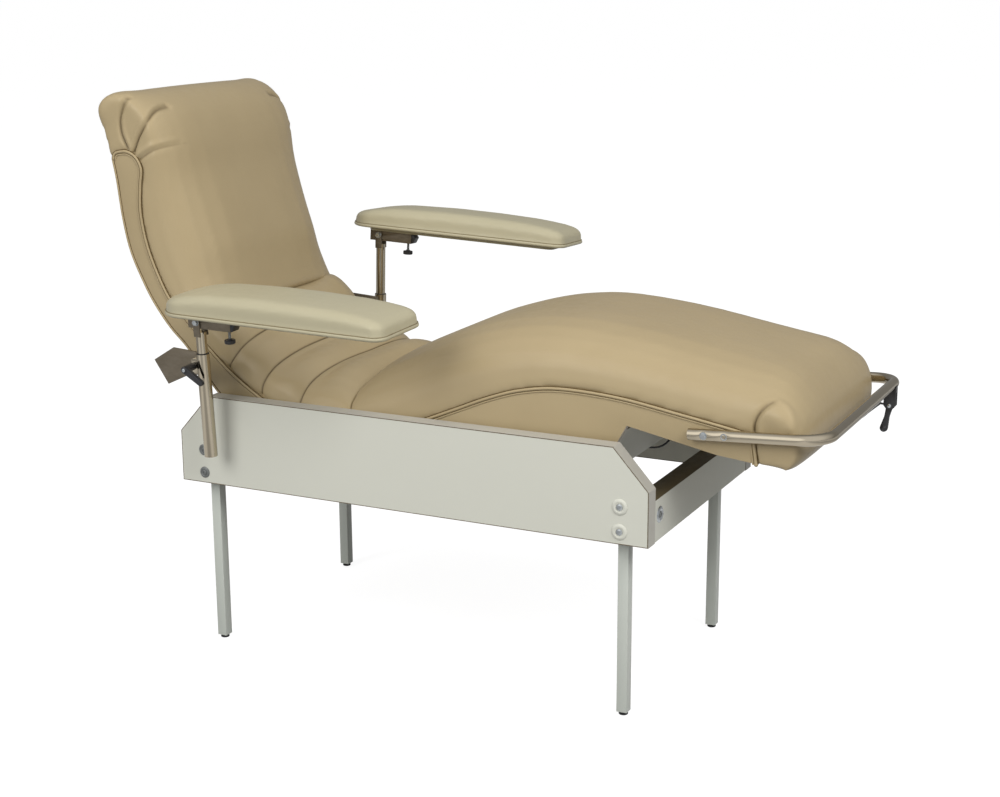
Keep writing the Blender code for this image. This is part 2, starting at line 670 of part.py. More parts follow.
def pipe_rings(path, radius, steps=16):
    """Return rings of points round a path that lies near a level plane."""
    rings = []
    for index, point in enumerate(path):
        ahead = path[min(index + 1, len(path) - 1)]
        behind = path[max(index - 1, 0)]
        way = (ahead - behind).normalized()
        across = way.cross(Vector((0, 0, 1))).normalized()
        up = across.cross(way)
        rings.append([point + radius * (cos(2 * pi * k / steps) * across + sin(2 * pi * k / steps) * up)
                      for k in range(steps)])
    return rings


def build_handle(parent, looks):
    """Make the foot handle, the release lever with its bracket, and the cable."""
    path = handle_path()
    body = loft(pipe_rings(path, HANDLE_RADIUS), pipe_rings(path, HANDLE_RADIUS - HANDLE_WALL))
    piece("foot_handle", body, looks["chrome"], parent)

    tube_x, tube_z = HANDLE_END
    saddle = HANDLE_RADIUS + SEAT_GAP
    half = BRACKET_LENGTH / 2
    cheek_in = LEVER_THICKNESS / 2 + RUN_GAP
    cheek_out = cheek_in + CHEEK_THICKNESS
    pin_z = -LEVER_DROP
    low = pin_z - LEVER_RADIUS
    outline = ((-half, 0), (-half, pin_z), (-half * 0.5, low), (half * 0.5, low), (half, pin_z), (half, 0))
    bracket = cut(prism(outline, -cheek_out, cheek_out), bar_y(saddle, -half, half, 0, 0, 32))
    roof = -saddle - CHEEK_THICKNESS
    bracket = cut(bracket, block((-half * 2, -cheek_in, low * 2), (half * 2, cheek_in, roof)))
    bracket = unite(bracket, bar_y(LEVER_PIN_RADIUS, -cheek_in - CHEEK_THICKNESS / 2,
                                   cheek_in + CHEEK_THICKNESS / 2, 0, pin_z))
    piece("lever_bracket", bracket, looks["black plastic"], parent, (tube_x, LEVER_Y, tube_z))

    axis = empty("release_lever_axis", parent, (tube_x, LEVER_Y, tube_z + pin_z), (0, -LEVER_LEAN, 0))
    neck = LEVER_RADIUS * 0.62
    arcs = [(0, LEVER_RADIUS * 0.85, 0, pi), (-LEVER_LENGTH, LEVER_RADIUS, pi, 2 * pi)]
    outline = []
    for centre_z, radius, start, end in arcs:
        for step in range(9):
            turn = start + (end - start) * step / 8
            outline.append((radius * cos(turn), centre_z + radius * sin(turn)))
    outline.insert(9, (-neck, -LEVER_LENGTH * 0.5))
    outline.append((neck, -LEVER_LENGTH * 0.5))
    lever = prism(outline, -LEVER_THICKNESS / 2, LEVER_THICKNESS / 2)
    lever = cut(lever, bar_y(LEVER_PIN_RADIUS + RUN_GAP, -LEVER_THICKNESS, LEVER_THICKNESS, 0, 0))
    piece("release_lever", lever, looks["black plastic"], axis)

    build_cable(parent, looks)


def cable_route():
    """Return the points of the release cable, from the lever's bracket to the gas spring."""
    cheek_y = LEVER_Y - LEVER_THICKNESS / 2 - RUN_GAP - CHEEK_THICKNESS / 2
    start_x = HANDLE_END[0] - BRACKET_LENGTH / 2 - SEAT_GAP
    start_z = HANDLE_END[1] - CABLE_FALL
    turn_x = SPRING_HEAD[0] + CABLE_TURN
    nose = Vector((LEG_ROWS[-1][2], LEG_ROWS[-1][3])) * MM
    step, middle, toe, tip = in_metres(UNDER_LINE)
    box = Vector((SEAT_BOX_FRONT, SEAT_BOX_BOTTOM))
    wall = step - box
    off = Vector((wall.y, -wall.x)).normalized() * CABLE_STEP
    run_z = SEAT_BOX_BOTTOM - CABLE_RADIUS - CABLE_CLEAR
    sag = Vector((0, CABLE_SAG))
    start = Vector((start_x, start_z))
    line = [start, start - Vector((CABLE_SAG / 3, 0)), start - Vector((CABLE_SAG * 0.75, CABLE_CLEAR / 2)),
            nose + Vector((2.4, 1.3)) * CABLE_SAG, nose + Vector((0.5, -0.35)) * CABLE_SAG,
            nose - sag - Vector((CABLE_SAG * 2.2, 0)),
            tip - sag - Vector((CABLE_SAG, 0)), toe - sag, middle - sag, step + off - Vector((0, CABLE_SAG)),
            box + wall * 0.72 + off, box + wall * 0.25 + off, Vector((box.x + CABLE_SAG, run_z))]
    line += [Vector((turn_x + (box.x - turn_x) * share, run_z)) for share in (0.85, 0.45, 0.0)]
    slope = cheek_y / (start_x - CABLE_SAG * 0.75 - turn_x)
    route = [(x, min(cheek_y, slope * (x - turn_x)), z) for x, z in line]
    end_x = SPRING_HEAD[0] + SPRING_EYE_RADIUS + SEAT_GAP
    end_y = -(SPRING_EYE_WIDTH / 2 + RUN_GAP + EAR_THICKNESS / 2)
    return route + [(end_x + CABLE_RUN_OUT, end_y, SPRING_HEAD[1]), (end_x, end_y, SPRING_HEAD[1])]


def build_cable(parent, looks):
    """Make the release cable, from the lever's bracket under the leg rest to the gas spring."""
    data = bpy.data.curves.new("release_cable", "CURVE")
    data.dimensions = "3D"
    data.bevel_depth = CABLE_RADIUS
    data.bevel_resolution = 2
    data.use_fill_caps = True
    spline = data.splines.new("POLY")
    points = catmull(cable_route(), 4)
    spline.points.add(len(points) - 1)
    for target, point in zip(spline.points, points):
        target.co = (*point, 1.0)
    data.materials.append(looks["black plastic"])
    made = bpy.data.objects.new("release_cable", data)
    bpy.context.scene.collection.objects.link(made)
    made.parent = parent


def pad_outline(inset, steps=8):
    """Return the arm pad's plan outline, drawn in by an inset."""
    half = PAD_WIDTH / 2 - inset
    front, rear = PAD_AHEAD - inset, -PAD_BEHIND + inset
    front_r = max(PAD_FRONT_RADIUS - inset * 0.2, half * 0.3)
    rear_r = max(PAD_REAR_RADIUS - inset, half * 0.3)
    corners = ((front - front_r, half - front_r, front_r, 0), (rear + rear_r, half - rear_r, rear_r, pi / 2),
               (rear + rear_r, -half + rear_r, rear_r, pi),
               (front - front_r, -half + front_r, front_r, 1.5 * pi))
    points = []
    for x, y, radius, start in corners:
        for step in range(steps + 1):
            turn = start + pi / 2 * step / steps
            points.append((x + radius * cos(turn), y + radius * sin(turn)))
    return points


def pad_height(x):
    """Return the arm pad's crown height at a place along it."""
    share = (x + PAD_BEHIND) / (PAD_AHEAD + PAD_BEHIND) - PAD_PEAK
    end, room = (PAD_FRONT_THICKNESS, 1 - PAD_PEAK) if share > 0 else (PAD_REAR_THICKNESS, PAD_PEAK)
    return end + (PAD_THICKNESS - end) * cos(pi / 2 * min(1, abs(share) / room))


def arm_pad(floor):
    """Loft the crowned arm pad over its board."""
    half = PAD_WIDTH / 2
    rings = [[Vector((x, y, floor)) for x, y in pad_outline(0)]]
    for share in (0.0, 0.02, 0.07, 0.16, 0.32, 0.55, 0.8):
        rise = (1 - (1 - share) ** 3) ** 0.5
        rings.append([Vector((x, y, floor + PAD_SKIRT + (pad_height(x) - PAD_SKIRT) * rise))
                      for x, y in pad_outline(half * share)])
    return loft(rings)


def build_arm(side, sign, lounge, looks):
    """Make one arm: sleeve, bracket, clamp lever, bush, post, fork, rail, pad and lock screw."""
    foot = (ARM_X, sign * (FRAME_HALF + ARM_STANDOFF), ARM_BASE)
    axis = empty(side + "_arm_axis", lounge, foot, (-sign * ARM_LEAN, 0, 0))

    lug_high = SLEEVE_HIGH - LUG_BELOW_TOP
    lug_low = lug_high - LUG_HEIGHT
    lug_half = SLIT_WIDTH / 2 + LUG_THICKNESS
    screw_x = -SLEEVE_RADIUS - LUG_REACH / 2
    screw_z = (lug_low + lug_high) / 2
    bore = SLEEVE_RADIUS - SLEEVE_WALL
    sleeve = tube(SLEEVE_RADIUS, bore, SLEEVE_LOW, SLEEVE_HIGH)
    lug = block((-SLEEVE_RADIUS - LUG_REACH, -lug_half, lug_low),
                (-bore - SLEEVE_WALL / 2, lug_half, lug_high))
    sleeve = unite(sleeve, lug)
    slit = block((-SLEEVE_RADIUS - LUG_REACH * 2, -SLIT_WIDTH / 2, SLEEVE_HIGH - SLIT_LENGTH),
                 (-bore / 2, SLIT_WIDTH / 2, SLEEVE_HIGH + SLIT_WIDTH))
    sleeve = cut(sleeve, slit)
    screw_hole = bar_y(CLAMP_SCREW_RADIUS + RUN_GAP, -lug_half * 2, lug_half * 2, screw_x, screw_z)
    piece(side + "_arm_sleeve", cut(sleeve, screw_hole), looks["chrome"], axis)

    plate = sorted((-sign * (SLEEVE_RADIUS + SEAT_GAP), -sign * (SLEEVE_RADIUS + SEAT_GAP + BRACKET_PLATE)))
    piece(side + "_arm_bracket", prism(in_metres(BRACKET_OUTLINE), *plate), looks["bronze steel"], axis)

    lever_axis = empty(side + "_clamp_axis", axis, (screw_x, 0, screw_z))
    piece(side + "_clamp_lever", clamp_lever(sign, lug_half), looks["black plastic"], lever_axis)

    swing = empty(side + "_arm_swing", axis, turn=(0, 0, sign * ARM_SWING))
    bush_bore = POST_RADIUS + RUN_GAP
    bush_out = bore - RUN_GAP
    flange = SLEEVE_RADIUS * 0.97
    bush = turned(((bush_bore, SLEEVE_HIGH - BUSH_LENGTH), (bush_out, SLEEVE_HIGH - BUSH_LENGTH),
                   (bush_out, SLEEVE_HIGH + SEAT_GAP), (flange, SLEEVE_HIGH + SEAT_GAP),
                   (flange, SLEEVE_HIGH + BUSH_FLANGE), (bush_bore, SLEEVE_HIGH + BUSH_FLANGE)),
                  24, closed=True)
    piece(side + "_arm_bush", bush, looks["black plastic"], swing)

    fork_place = empty(side + "_arm_fork", swing, (0, 0, ARM_HEIGHT[side]))
    piece(side + "_arm_post", arm_post(), looks["chrome"], fork_place)
    cheek = ARM_RAIL_WIDTH / 2 + RUN_GAP + FORK_PLATE
    head = ARM_BOLT_RADIUS * 1.7
    bolt = turned(((0, -cheek - ARM_BOLT_RADIUS), (head, -cheek - ARM_BOLT_RADIUS), (head, -cheek - SEAT_GAP),
                   (ARM_BOLT_RADIUS, -cheek - SEAT_GAP), (ARM_BOLT_RADIUS, cheek + SEAT_GAP),
                   (head, cheek + SEAT_GAP), (head * 0.8, cheek + ARM_BOLT_RADIUS * 0.8),
                   (0, cheek + ARM_BOLT_RADIUS)), 16)
    piece(side + "_arm_bolt", moved(bolt, turn=ALONG_Y), looks["zinc"], fork_place)

    tilt = empty(side + "_arm_tilt", fork_place, turn=(0, -ARM_TILT[side], 0))
    build_arm_rest(side, tilt, looks)


def clamp_lever(sign, lug_half):
    """Return a clamp lever with its hub, arm and screw, at its screw's axis."""
    start = lug_half + SEAT_GAP
    tip = start + HUB_LENGTH
    head = CLAMP_SCREW_RADIUS * 1.8
    base = -start - CLAMP_SCREW_RADIUS * 1.4
    profile = ((0, base), (head, base), (head, -start),
               (CLAMP_SCREW_RADIUS, -start), (CLAMP_SCREW_RADIUS, start),
               (HUB_RADIUS * 0.75, start), (HUB_RADIUS, tip), (HUB_RADIUS * 0.5, tip + HUB_RADIUS * 0.4),
               (0, tip + HUB_RADIUS * 0.5))
    hub = moved(turned(profile, 16), turn=ALONG_Y)
    thick = HUB_RADIUS * 0.62
    outline = []
    for centre, radius, first in ((0, HUB_RADIUS * 0.9, pi / 2), (CLAMP_REACH, HUB_RADIUS * 0.7, -pi / 2)):
        for step in range(9):
            turn = first + pi * step / 8
            outline.append((centre + radius * cos(turn), radius * sin(turn)))
    droop = Matrix.Rotation(-CLAMP_DROOP, 4, "Y")
    arm = moved(prism(outline, tip - thick * 2, tip - thick * 0.4), turn=droop)
    lever = unite(hub, arm)
    if sign < 0:
        bmesh.ops.scale(lever, vec=(1, -1, 1), verts=lever.verts)
    return lever


def arm_post():
    """Return a post with its welded fork, from the pivot bolt's axis down."""
    half = FORK_LENGTH / 2
    reach = ARM_RAIL_HEIGHT / 2 - SEAT_GAP
    top = (reach - half * sin(ARM_NOSE_DOWN)) / cos(ARM_NOSE_DOWN)
    rear_top = (reach - half * sin(ARM_NOSE_UP)) / cos(ARM_NOSE_UP)
    cheek_in = ARM_RAIL_WIDTH / 2 + RUN_GAP
    cheek_out = cheek_in + FORK_PLATE
    floor = -FORK_FLOOR
    neck = POST_RADIUS
    low = floor - FORK_PLATE
    outline = ((-half * 0.25, top), (-half, rear_top), (-half, floor * 0.6), (-neck, low), (neck, low),
               (half, floor * 0.6), (half, top))
    fork = cut(prism(outline, -cheek_out, cheek_out),
               block((-half * 2, -cheek_in, floor), (half * 2, cheek_in, top * 2)))
    post = unite(fork, tube(POST_RADIUS, POST_RADIUS - POST_WALL, low - POST_LENGTH, low + FORK_PLATE / 2))
    return cut(post, bar_y(ARM_BOLT_RADIUS + RUN_GAP, -cheek_out * 2, cheek_out * 2, 0, 0))


def build_arm_rest(side, tilt, looks):
    """Make the rail, end cap, board, pad and lock screw that tilt on a fork's bolt."""
    half_w, half_h = ARM_RAIL_WIDTH / 2, ARM_RAIL_HEIGHT / 2
    wall = ARM_RAIL_WALL
    rail = block((-ARM_RAIL_BEHIND, -half_w, -half_h), (ARM_RAIL_AHEAD, half_w, half_h))
    rail = cut(rail, block((-ARM_RAIL_BEHIND - wall, -half_w + wall, -half_h + wall),
                           (ARM_RAIL_AHEAD + wall, half_w - wall, half_h - wall)))
    rail = cut(rail, bar_y(ARM_BOLT_RADIUS + RUN_GAP, -half_w * 2, half_w * 2, 0, 0))
    screw_hole = moved(rod(SCREW_RADIUS + RUN_GAP, -half_h * 2, 0), (SCREW_AHEAD, 0, 0))
    piece(side + "_arm_rail", cut(rail, screw_hole), looks["chrome"], tilt)

    start = ARM_RAIL_AHEAD + SEAT_GAP
    lip = wall + SEAT_GAP
    cap = unite(block((start, -half_w, -half_h), (start + ARM_CAP_LENGTH, half_w, half_h)),
                block((start - ARM_CAP_LENGTH * 0.4, -half_w + lip, -half_h + lip),
                      (start + wall, half_w - lip, half_h - lip)))
    piece(side + "_rail_cap", cap, looks["black plastic"], tilt)

    low = -half_h - SCREW_SHOWN
    screw = turned(((0, low - KNOB_HEIGHT), (KNOB_RADIUS * 0.85, low - KNOB_HEIGHT),
                    (KNOB_RADIUS, low - KNOB_HEIGHT * 0.7), (KNOB_RADIUS, low - KNOB_HEIGHT * 0.25),
                    (KNOB_RADIUS * 0.6, low), (SCREW_RADIUS * 1.5, low + SCREW_RADIUS),
                    (SCREW_RADIUS, low + SCREW_RADIUS), (SCREW_RADIUS, half_h - wall - SCREW_RADIUS * 2),
                    (0, half_h - wall - SCREW_RADIUS * 2)), 20)
    piece(side + "_lock_screw", screw, looks["black plastic"], tilt, (SCREW_AHEAD, 0, 0))

    board_low = half_h + SEAT_GAP
    board_high = board_low + ARM_BOARD_THICKNESS
    outline = pad_outline(ARM_BOARD_INSET)
    board = loft([[Vector((x, y, z)) for x, y in outline] for z in (board_low, board_high)])
    piece(side + "_arm_board", board, looks["arm vinyl"], tilt)
    piece(side + "_arm_pad", arm_pad(board_high + SEAT_GAP), looks["arm vinyl"], tilt)


def build_arm_tube(parent, looks):
    """Make the square tube behind the back that joins the two arm brackets."""
    line = catmull(in_metres(REAR_LINE), STATION_STEPS)
    index = min(range(len(line)), key=lambda k: abs(line[k].y - ARM_TUBE_HEIGHT))
    way = (line[index + 1] - line[index - 1]).normalized()
    out = Vector((way.y, -way.x))
    centre = line[index] + out * (ARM_TUBE_SIDE / 2 + SEAT_GAP)
    rise = centre.y - ARM_BASE - ARM_TUBE_SIDE
    plate_in = SLEEVE_RADIUS + SEAT_GAP * 2 + BRACKET_PLATE
    half = FRAME_HALF + ARM_STANDOFF + rise * sin(ARM_LEAN) - plate_in
    body = square_tube(ARM_TUBE_SIDE, ARM_TUBE_WALL, half, centre.x, centre.y, atan2(-way.y, way.x))
    piece("arm_cross_tube", body, looks["bronze steel"], parent)


def build_bed():
    """Build the whole bed."""
    clear_scene()
    looks = {
        "vinyl": finish("tan vinyl", 0.45, 0.36, 0.21, 0.42),
        "arm vinyl": finish("beige vinyl", 0.52, 0.47, 0.34, 0.40),
        "laminate": finish("grey laminate", 0.58, 0.59, 0.53, 0.55),
        "leg paint": finish("grey paint", 0.50, 0.52, 0.48, 0.45),
        "chrome": finish("bright nickel", 0.62, 0.58, 0.52, 0.16, 1.0),
        "zinc": finish("zinc plate", 0.60, 0.62, 0.64, 0.35, 1.0),
        "bronze steel": finish("bronzed steel", 0.16, 0.14, 0.11, 0.45, 0.8),
        "black plastic": finish("black plastic", 0.02, 0.02, 0.02, 0.40),
        "black paint": finish("black paint", 0.015, 0.015, 0.015, 0.30),
        "rubber": finish("rubber", 0.03, 0.03, 0.03, 0.80),
        "plywood": finish("plywood", 0.50, 0.36, 0.21, 0.70),
    }
    datum = empty("bed_datum", place=(-CENTRE_X, 0, 0))
    tilt_axis = empty("tilt_axis", datum, (PIVOT_X, 0, PIVOT_Z))
    build_frame(datum, looks)
    build_lounge(tilt_axis, looks)
    build_gas_spring(datum, tilt_axis, looks)
    build_handle(tilt_axis, looks)
    build_arm_tube(tilt_axis, looks)
    for side, sign in SIDES:
        build_arm(side, sign, tilt_axis, looks)


build_bed()
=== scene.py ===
"""Looks of a blood donor bed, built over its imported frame.

Places are in metres in the frame's own axes: +Z up, +X towards the foot end, +Y the donor's left.
Sizes in the classes are in millimetres. The lounge and the arm pads swell in a short cloth simulation
and then take their seams, gathers and piping. Panels get edge bands and cup washers, and the arms and
the foot handle get drawn tube.
"""

import json
import logging
from dataclasses import dataclass, replace
from enum import Enum
from math import atan2, cos, pi, radians, sin
from typing import Iterable, Optional, Sequence

import bmesh
import bpy
import numpy as np
from bmesh.types import BMEdge, BMesh, BMVert
from mathutils import Matrix, Vector
from mathutils.bvhtree import BVHTree

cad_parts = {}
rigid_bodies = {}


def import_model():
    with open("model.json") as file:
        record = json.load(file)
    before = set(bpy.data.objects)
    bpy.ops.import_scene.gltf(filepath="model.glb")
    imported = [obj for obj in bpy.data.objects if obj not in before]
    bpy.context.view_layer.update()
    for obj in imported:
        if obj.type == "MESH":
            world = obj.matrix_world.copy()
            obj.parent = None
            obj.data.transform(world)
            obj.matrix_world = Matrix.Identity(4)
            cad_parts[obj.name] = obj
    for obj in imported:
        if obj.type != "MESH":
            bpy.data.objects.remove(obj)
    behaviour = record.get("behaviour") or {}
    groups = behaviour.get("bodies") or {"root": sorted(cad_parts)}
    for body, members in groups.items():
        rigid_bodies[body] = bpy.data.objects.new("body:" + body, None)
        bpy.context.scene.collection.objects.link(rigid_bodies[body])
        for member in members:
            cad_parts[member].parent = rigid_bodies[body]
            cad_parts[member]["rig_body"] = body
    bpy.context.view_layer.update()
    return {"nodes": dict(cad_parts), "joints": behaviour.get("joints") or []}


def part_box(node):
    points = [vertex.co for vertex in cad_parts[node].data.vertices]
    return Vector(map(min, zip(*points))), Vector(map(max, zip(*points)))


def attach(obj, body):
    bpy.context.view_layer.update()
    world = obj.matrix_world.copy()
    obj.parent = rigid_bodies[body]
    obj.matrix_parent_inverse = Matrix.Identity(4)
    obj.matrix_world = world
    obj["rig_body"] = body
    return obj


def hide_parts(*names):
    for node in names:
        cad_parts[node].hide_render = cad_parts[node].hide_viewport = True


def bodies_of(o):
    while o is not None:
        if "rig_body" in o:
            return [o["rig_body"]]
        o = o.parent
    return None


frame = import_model()
LOG = logging.getLogger("donor_bed")
MM = 0.001
JOINTS = {joint["name"]: joint for joint in frame["joints"]}
TILT_AXIS = Vector(JOINTS["lounge_tilt"]["pos_m"])

# Points closer than this, in metres, are one: in a finished piece, a CAD node and a turned piece
WELD = 1e-6
CAD_WELD = 1e-5
LATHE_WELD = 1e-7
# Angles in degrees: edges under the first lie in a flat face, and CAD edges over the second are rounded
FLAT = 1.0
CORNER = 50.0
# Ridges of a grip are cut where a turned piece is wider than this share of its widest place
GRIP_SHARE = 0.8
TUBE_FACES = 48
BEND_STEPS = 14

Point = tuple[float, float, float]
Line = tuple[tuple[float, float], ...]
Tree = bpy.types.NodeTree
Socket = bpy.types.NodeSocket


class Side(Enum):
    """The donor's right and left, with the sign that Y has there."""

    RIGHT = -1
    LEFT = 1

    @property
    def word(self) -> str:
        """The side's word in the frame's names."""
        return self.name.lower()

    @property
    def out(self) -> Vector:
        """The way out of the bed on this side."""
        return Vector((0, self.value, 0))


def linear(colour: str) -> tuple[float, float, float, float]:
    """Turn an sRGB hex colour to linear.

    Args:
        colour: six hex digits.

    Returns:
        Linear red, green and blue, and an alpha of 1.
    """
    shares = [int(colour[place:place + 2], 16) / 255 for place in (0, 2, 4)]
    flat = [value / 12.92 if value < 0.04045 else ((value + 0.055) / 1.055) ** 2.4 for value in shares]
    return (*flat, 1.0)


def feed(tree: Tree, node: bpy.types.Node, inputs: dict) -> None:
    """Set a node's inputs.

    Args:
        tree: the material's or world's node tree.
        node: the node.
        inputs: sockets by name or number, each with a value or the output that feeds it.
    """
    for key, value in inputs.items():
        if isinstance(value, Socket):
            tree.links.new(value, node.inputs[key])
        else:
            node.inputs[key].default_value = value


def add_node(tree: Tree, kind: str, inputs: dict, **settings: object) -> bpy.types.Node:
    """Add a node with its settings and links.

    Args:
        tree: the material's or world's node tree.
        kind: the node's type name after "ShaderNode".
        inputs: sockets by name or number, each with a value or the output that feeds it.
        settings: properties of the node.

    Returns:
        The new node.
    """
    node = tree.nodes.new("ShaderNode" + kind)
    for name, value in settings.items():
        setattr(node, name, value)
    feed(tree, node, inputs)
    return node


def per_metre(size_mm: float) -> float:
    """Return the texture scale at which one cell of a pattern is this many millimetres."""
    return 1000.0 / size_mm


def noise(tree: Tree, place: Socket, size_mm: float, detail: float, roughness: float = 0.5) -> Socket:
    """Add a noise with cells of a size and return its value."""
    return add_node(tree, "TexNoise", {"Vector": place, "Scale": per_metre(size_mm), "Detail": detail,
                                       "Roughness": roughness}).outputs[0]


def blend(tree: Tree, factor: Socket, first: object, second: object) -> Socket:
    """Add a mix of two colours and return it."""
    return add_node(tree, "Mix", {0: factor, 6: first, 7: second}, data_type="RGBA").outputs[2]


def ramp(tree: Tree, value: Socket, span: Sequence[float], level: Sequence[float],
         **settings: object) -> Socket:
    """Add a node that maps a span of values to levels and return its result."""
    return add_node(tree, "MapRange", dict(enumerate((value, *span, *level))), **settings).outputs[0]


def maths(tree: Tree, operation: str, *values: object) -> Socket:
    """Add a maths node and return its result."""
    return add_node(tree, "Math", dict(enumerate(values)), operation=operation).outputs[0]


def dot(tree: Tree, vector: Socket, way: Sequence[float]) -> Socket:
    """Add a node for how far a vector goes along a way and return its value."""
    return add_node(tree, "VectorMath", {0: vector, 1: way}, operation="DOT_PRODUCT").outputs["Value"]


@dataclass(frozen=True)
class Finish:
    """A surface: its colour, how it drifts, the shade painted in its seams, its gloss and its relief.

    The colour drifts between two tones in soft patches, a seam colour is blended in as painted shade
    where the seam attribute marks fold valleys, a fine pattern breaks the gloss, and the relief is a bump of
    a real depth.
    """

    name: str
    colour: str
    tone: str
    roughness: float
    metallic: float = 0.0
    patch_mm: float = 160.0
    grain_mm: float = 2.5
    relief: float = 0.10
    relief_depth: float = 0.3 * MM
    gloss_spread: float = 0.06
    gloss_span: tuple[float, float] = (0.3, 0.7)
    gloss_grains: float = 9.0
    least_roughness: float = 0.02
    cells: bool = False
    stretch: Point = (1.0, 1.0, 1.0)
    # Colour of the shade painted into fold valleys, or None
    seam: Optional[str] = None
    coat: float = 0.0
    coat_roughness: float = 0.25

    def build(self) -> bpy.types.Material:
        """Make the material.

        Returns:
            A node material that reads Object coordinates, and the seam attribute where it has one.
        """
        made = bpy.data.materials.new(self.name)
        made.use_nodes = True
        made.diffuse_color = linear(self.colour)
        tree = made.node_tree
        place = add_node(tree, "TexCoord", {}).outputs["Object"]
        place = add_node(tree, "Mapping", {"Vector": place, "Scale": self.stretch}).outputs[0]
        patch = noise(tree, place, self.patch_mm, detail=3.0, roughness=0.55)
        tone = blend(tree, patch, linear(self.colour), linear(self.tone))
        # Painted shade: the seam attribute blends the colour towards the seam colour in fold valleys
        if self.seam:
            dark = add_node(tree, "Attribute", {}, attribute_name="seam").outputs["Fac"]
            tone = blend(tree, dark, tone, linear(self.seam))
        if self.cells:
            grain = add_node(tree, "TexVoronoi", {"Vector": place, "Scale": per_metre(self.grain_mm)},
                             feature="DISTANCE_TO_EDGE").outputs[0]
        else:
            grain = noise(tree, place, self.grain_mm, detail=2.0)
        fine = noise(tree, place, self.grain_mm * self.gloss_grains, detail=4.0)
        glossiest = max(self.least_roughness, self.roughness - self.gloss_spread)
        gloss = ramp(tree, fine, self.gloss_span, (glossiest, self.roughness + self.gloss_spread))
        bump = add_node(tree, "Bump", {"Height": grain, "Strength": self.relief,
                                       "Distance": self.relief_depth}).outputs[0]
        feed(tree, tree.nodes["Principled BSDF"],
             {"Base Color": tone, "Roughness": gloss, "Normal": bump, "Metallic": self.metallic,
              "Coat Weight": self.coat, "Coat Roughness": self.coat_roughness})
        return made


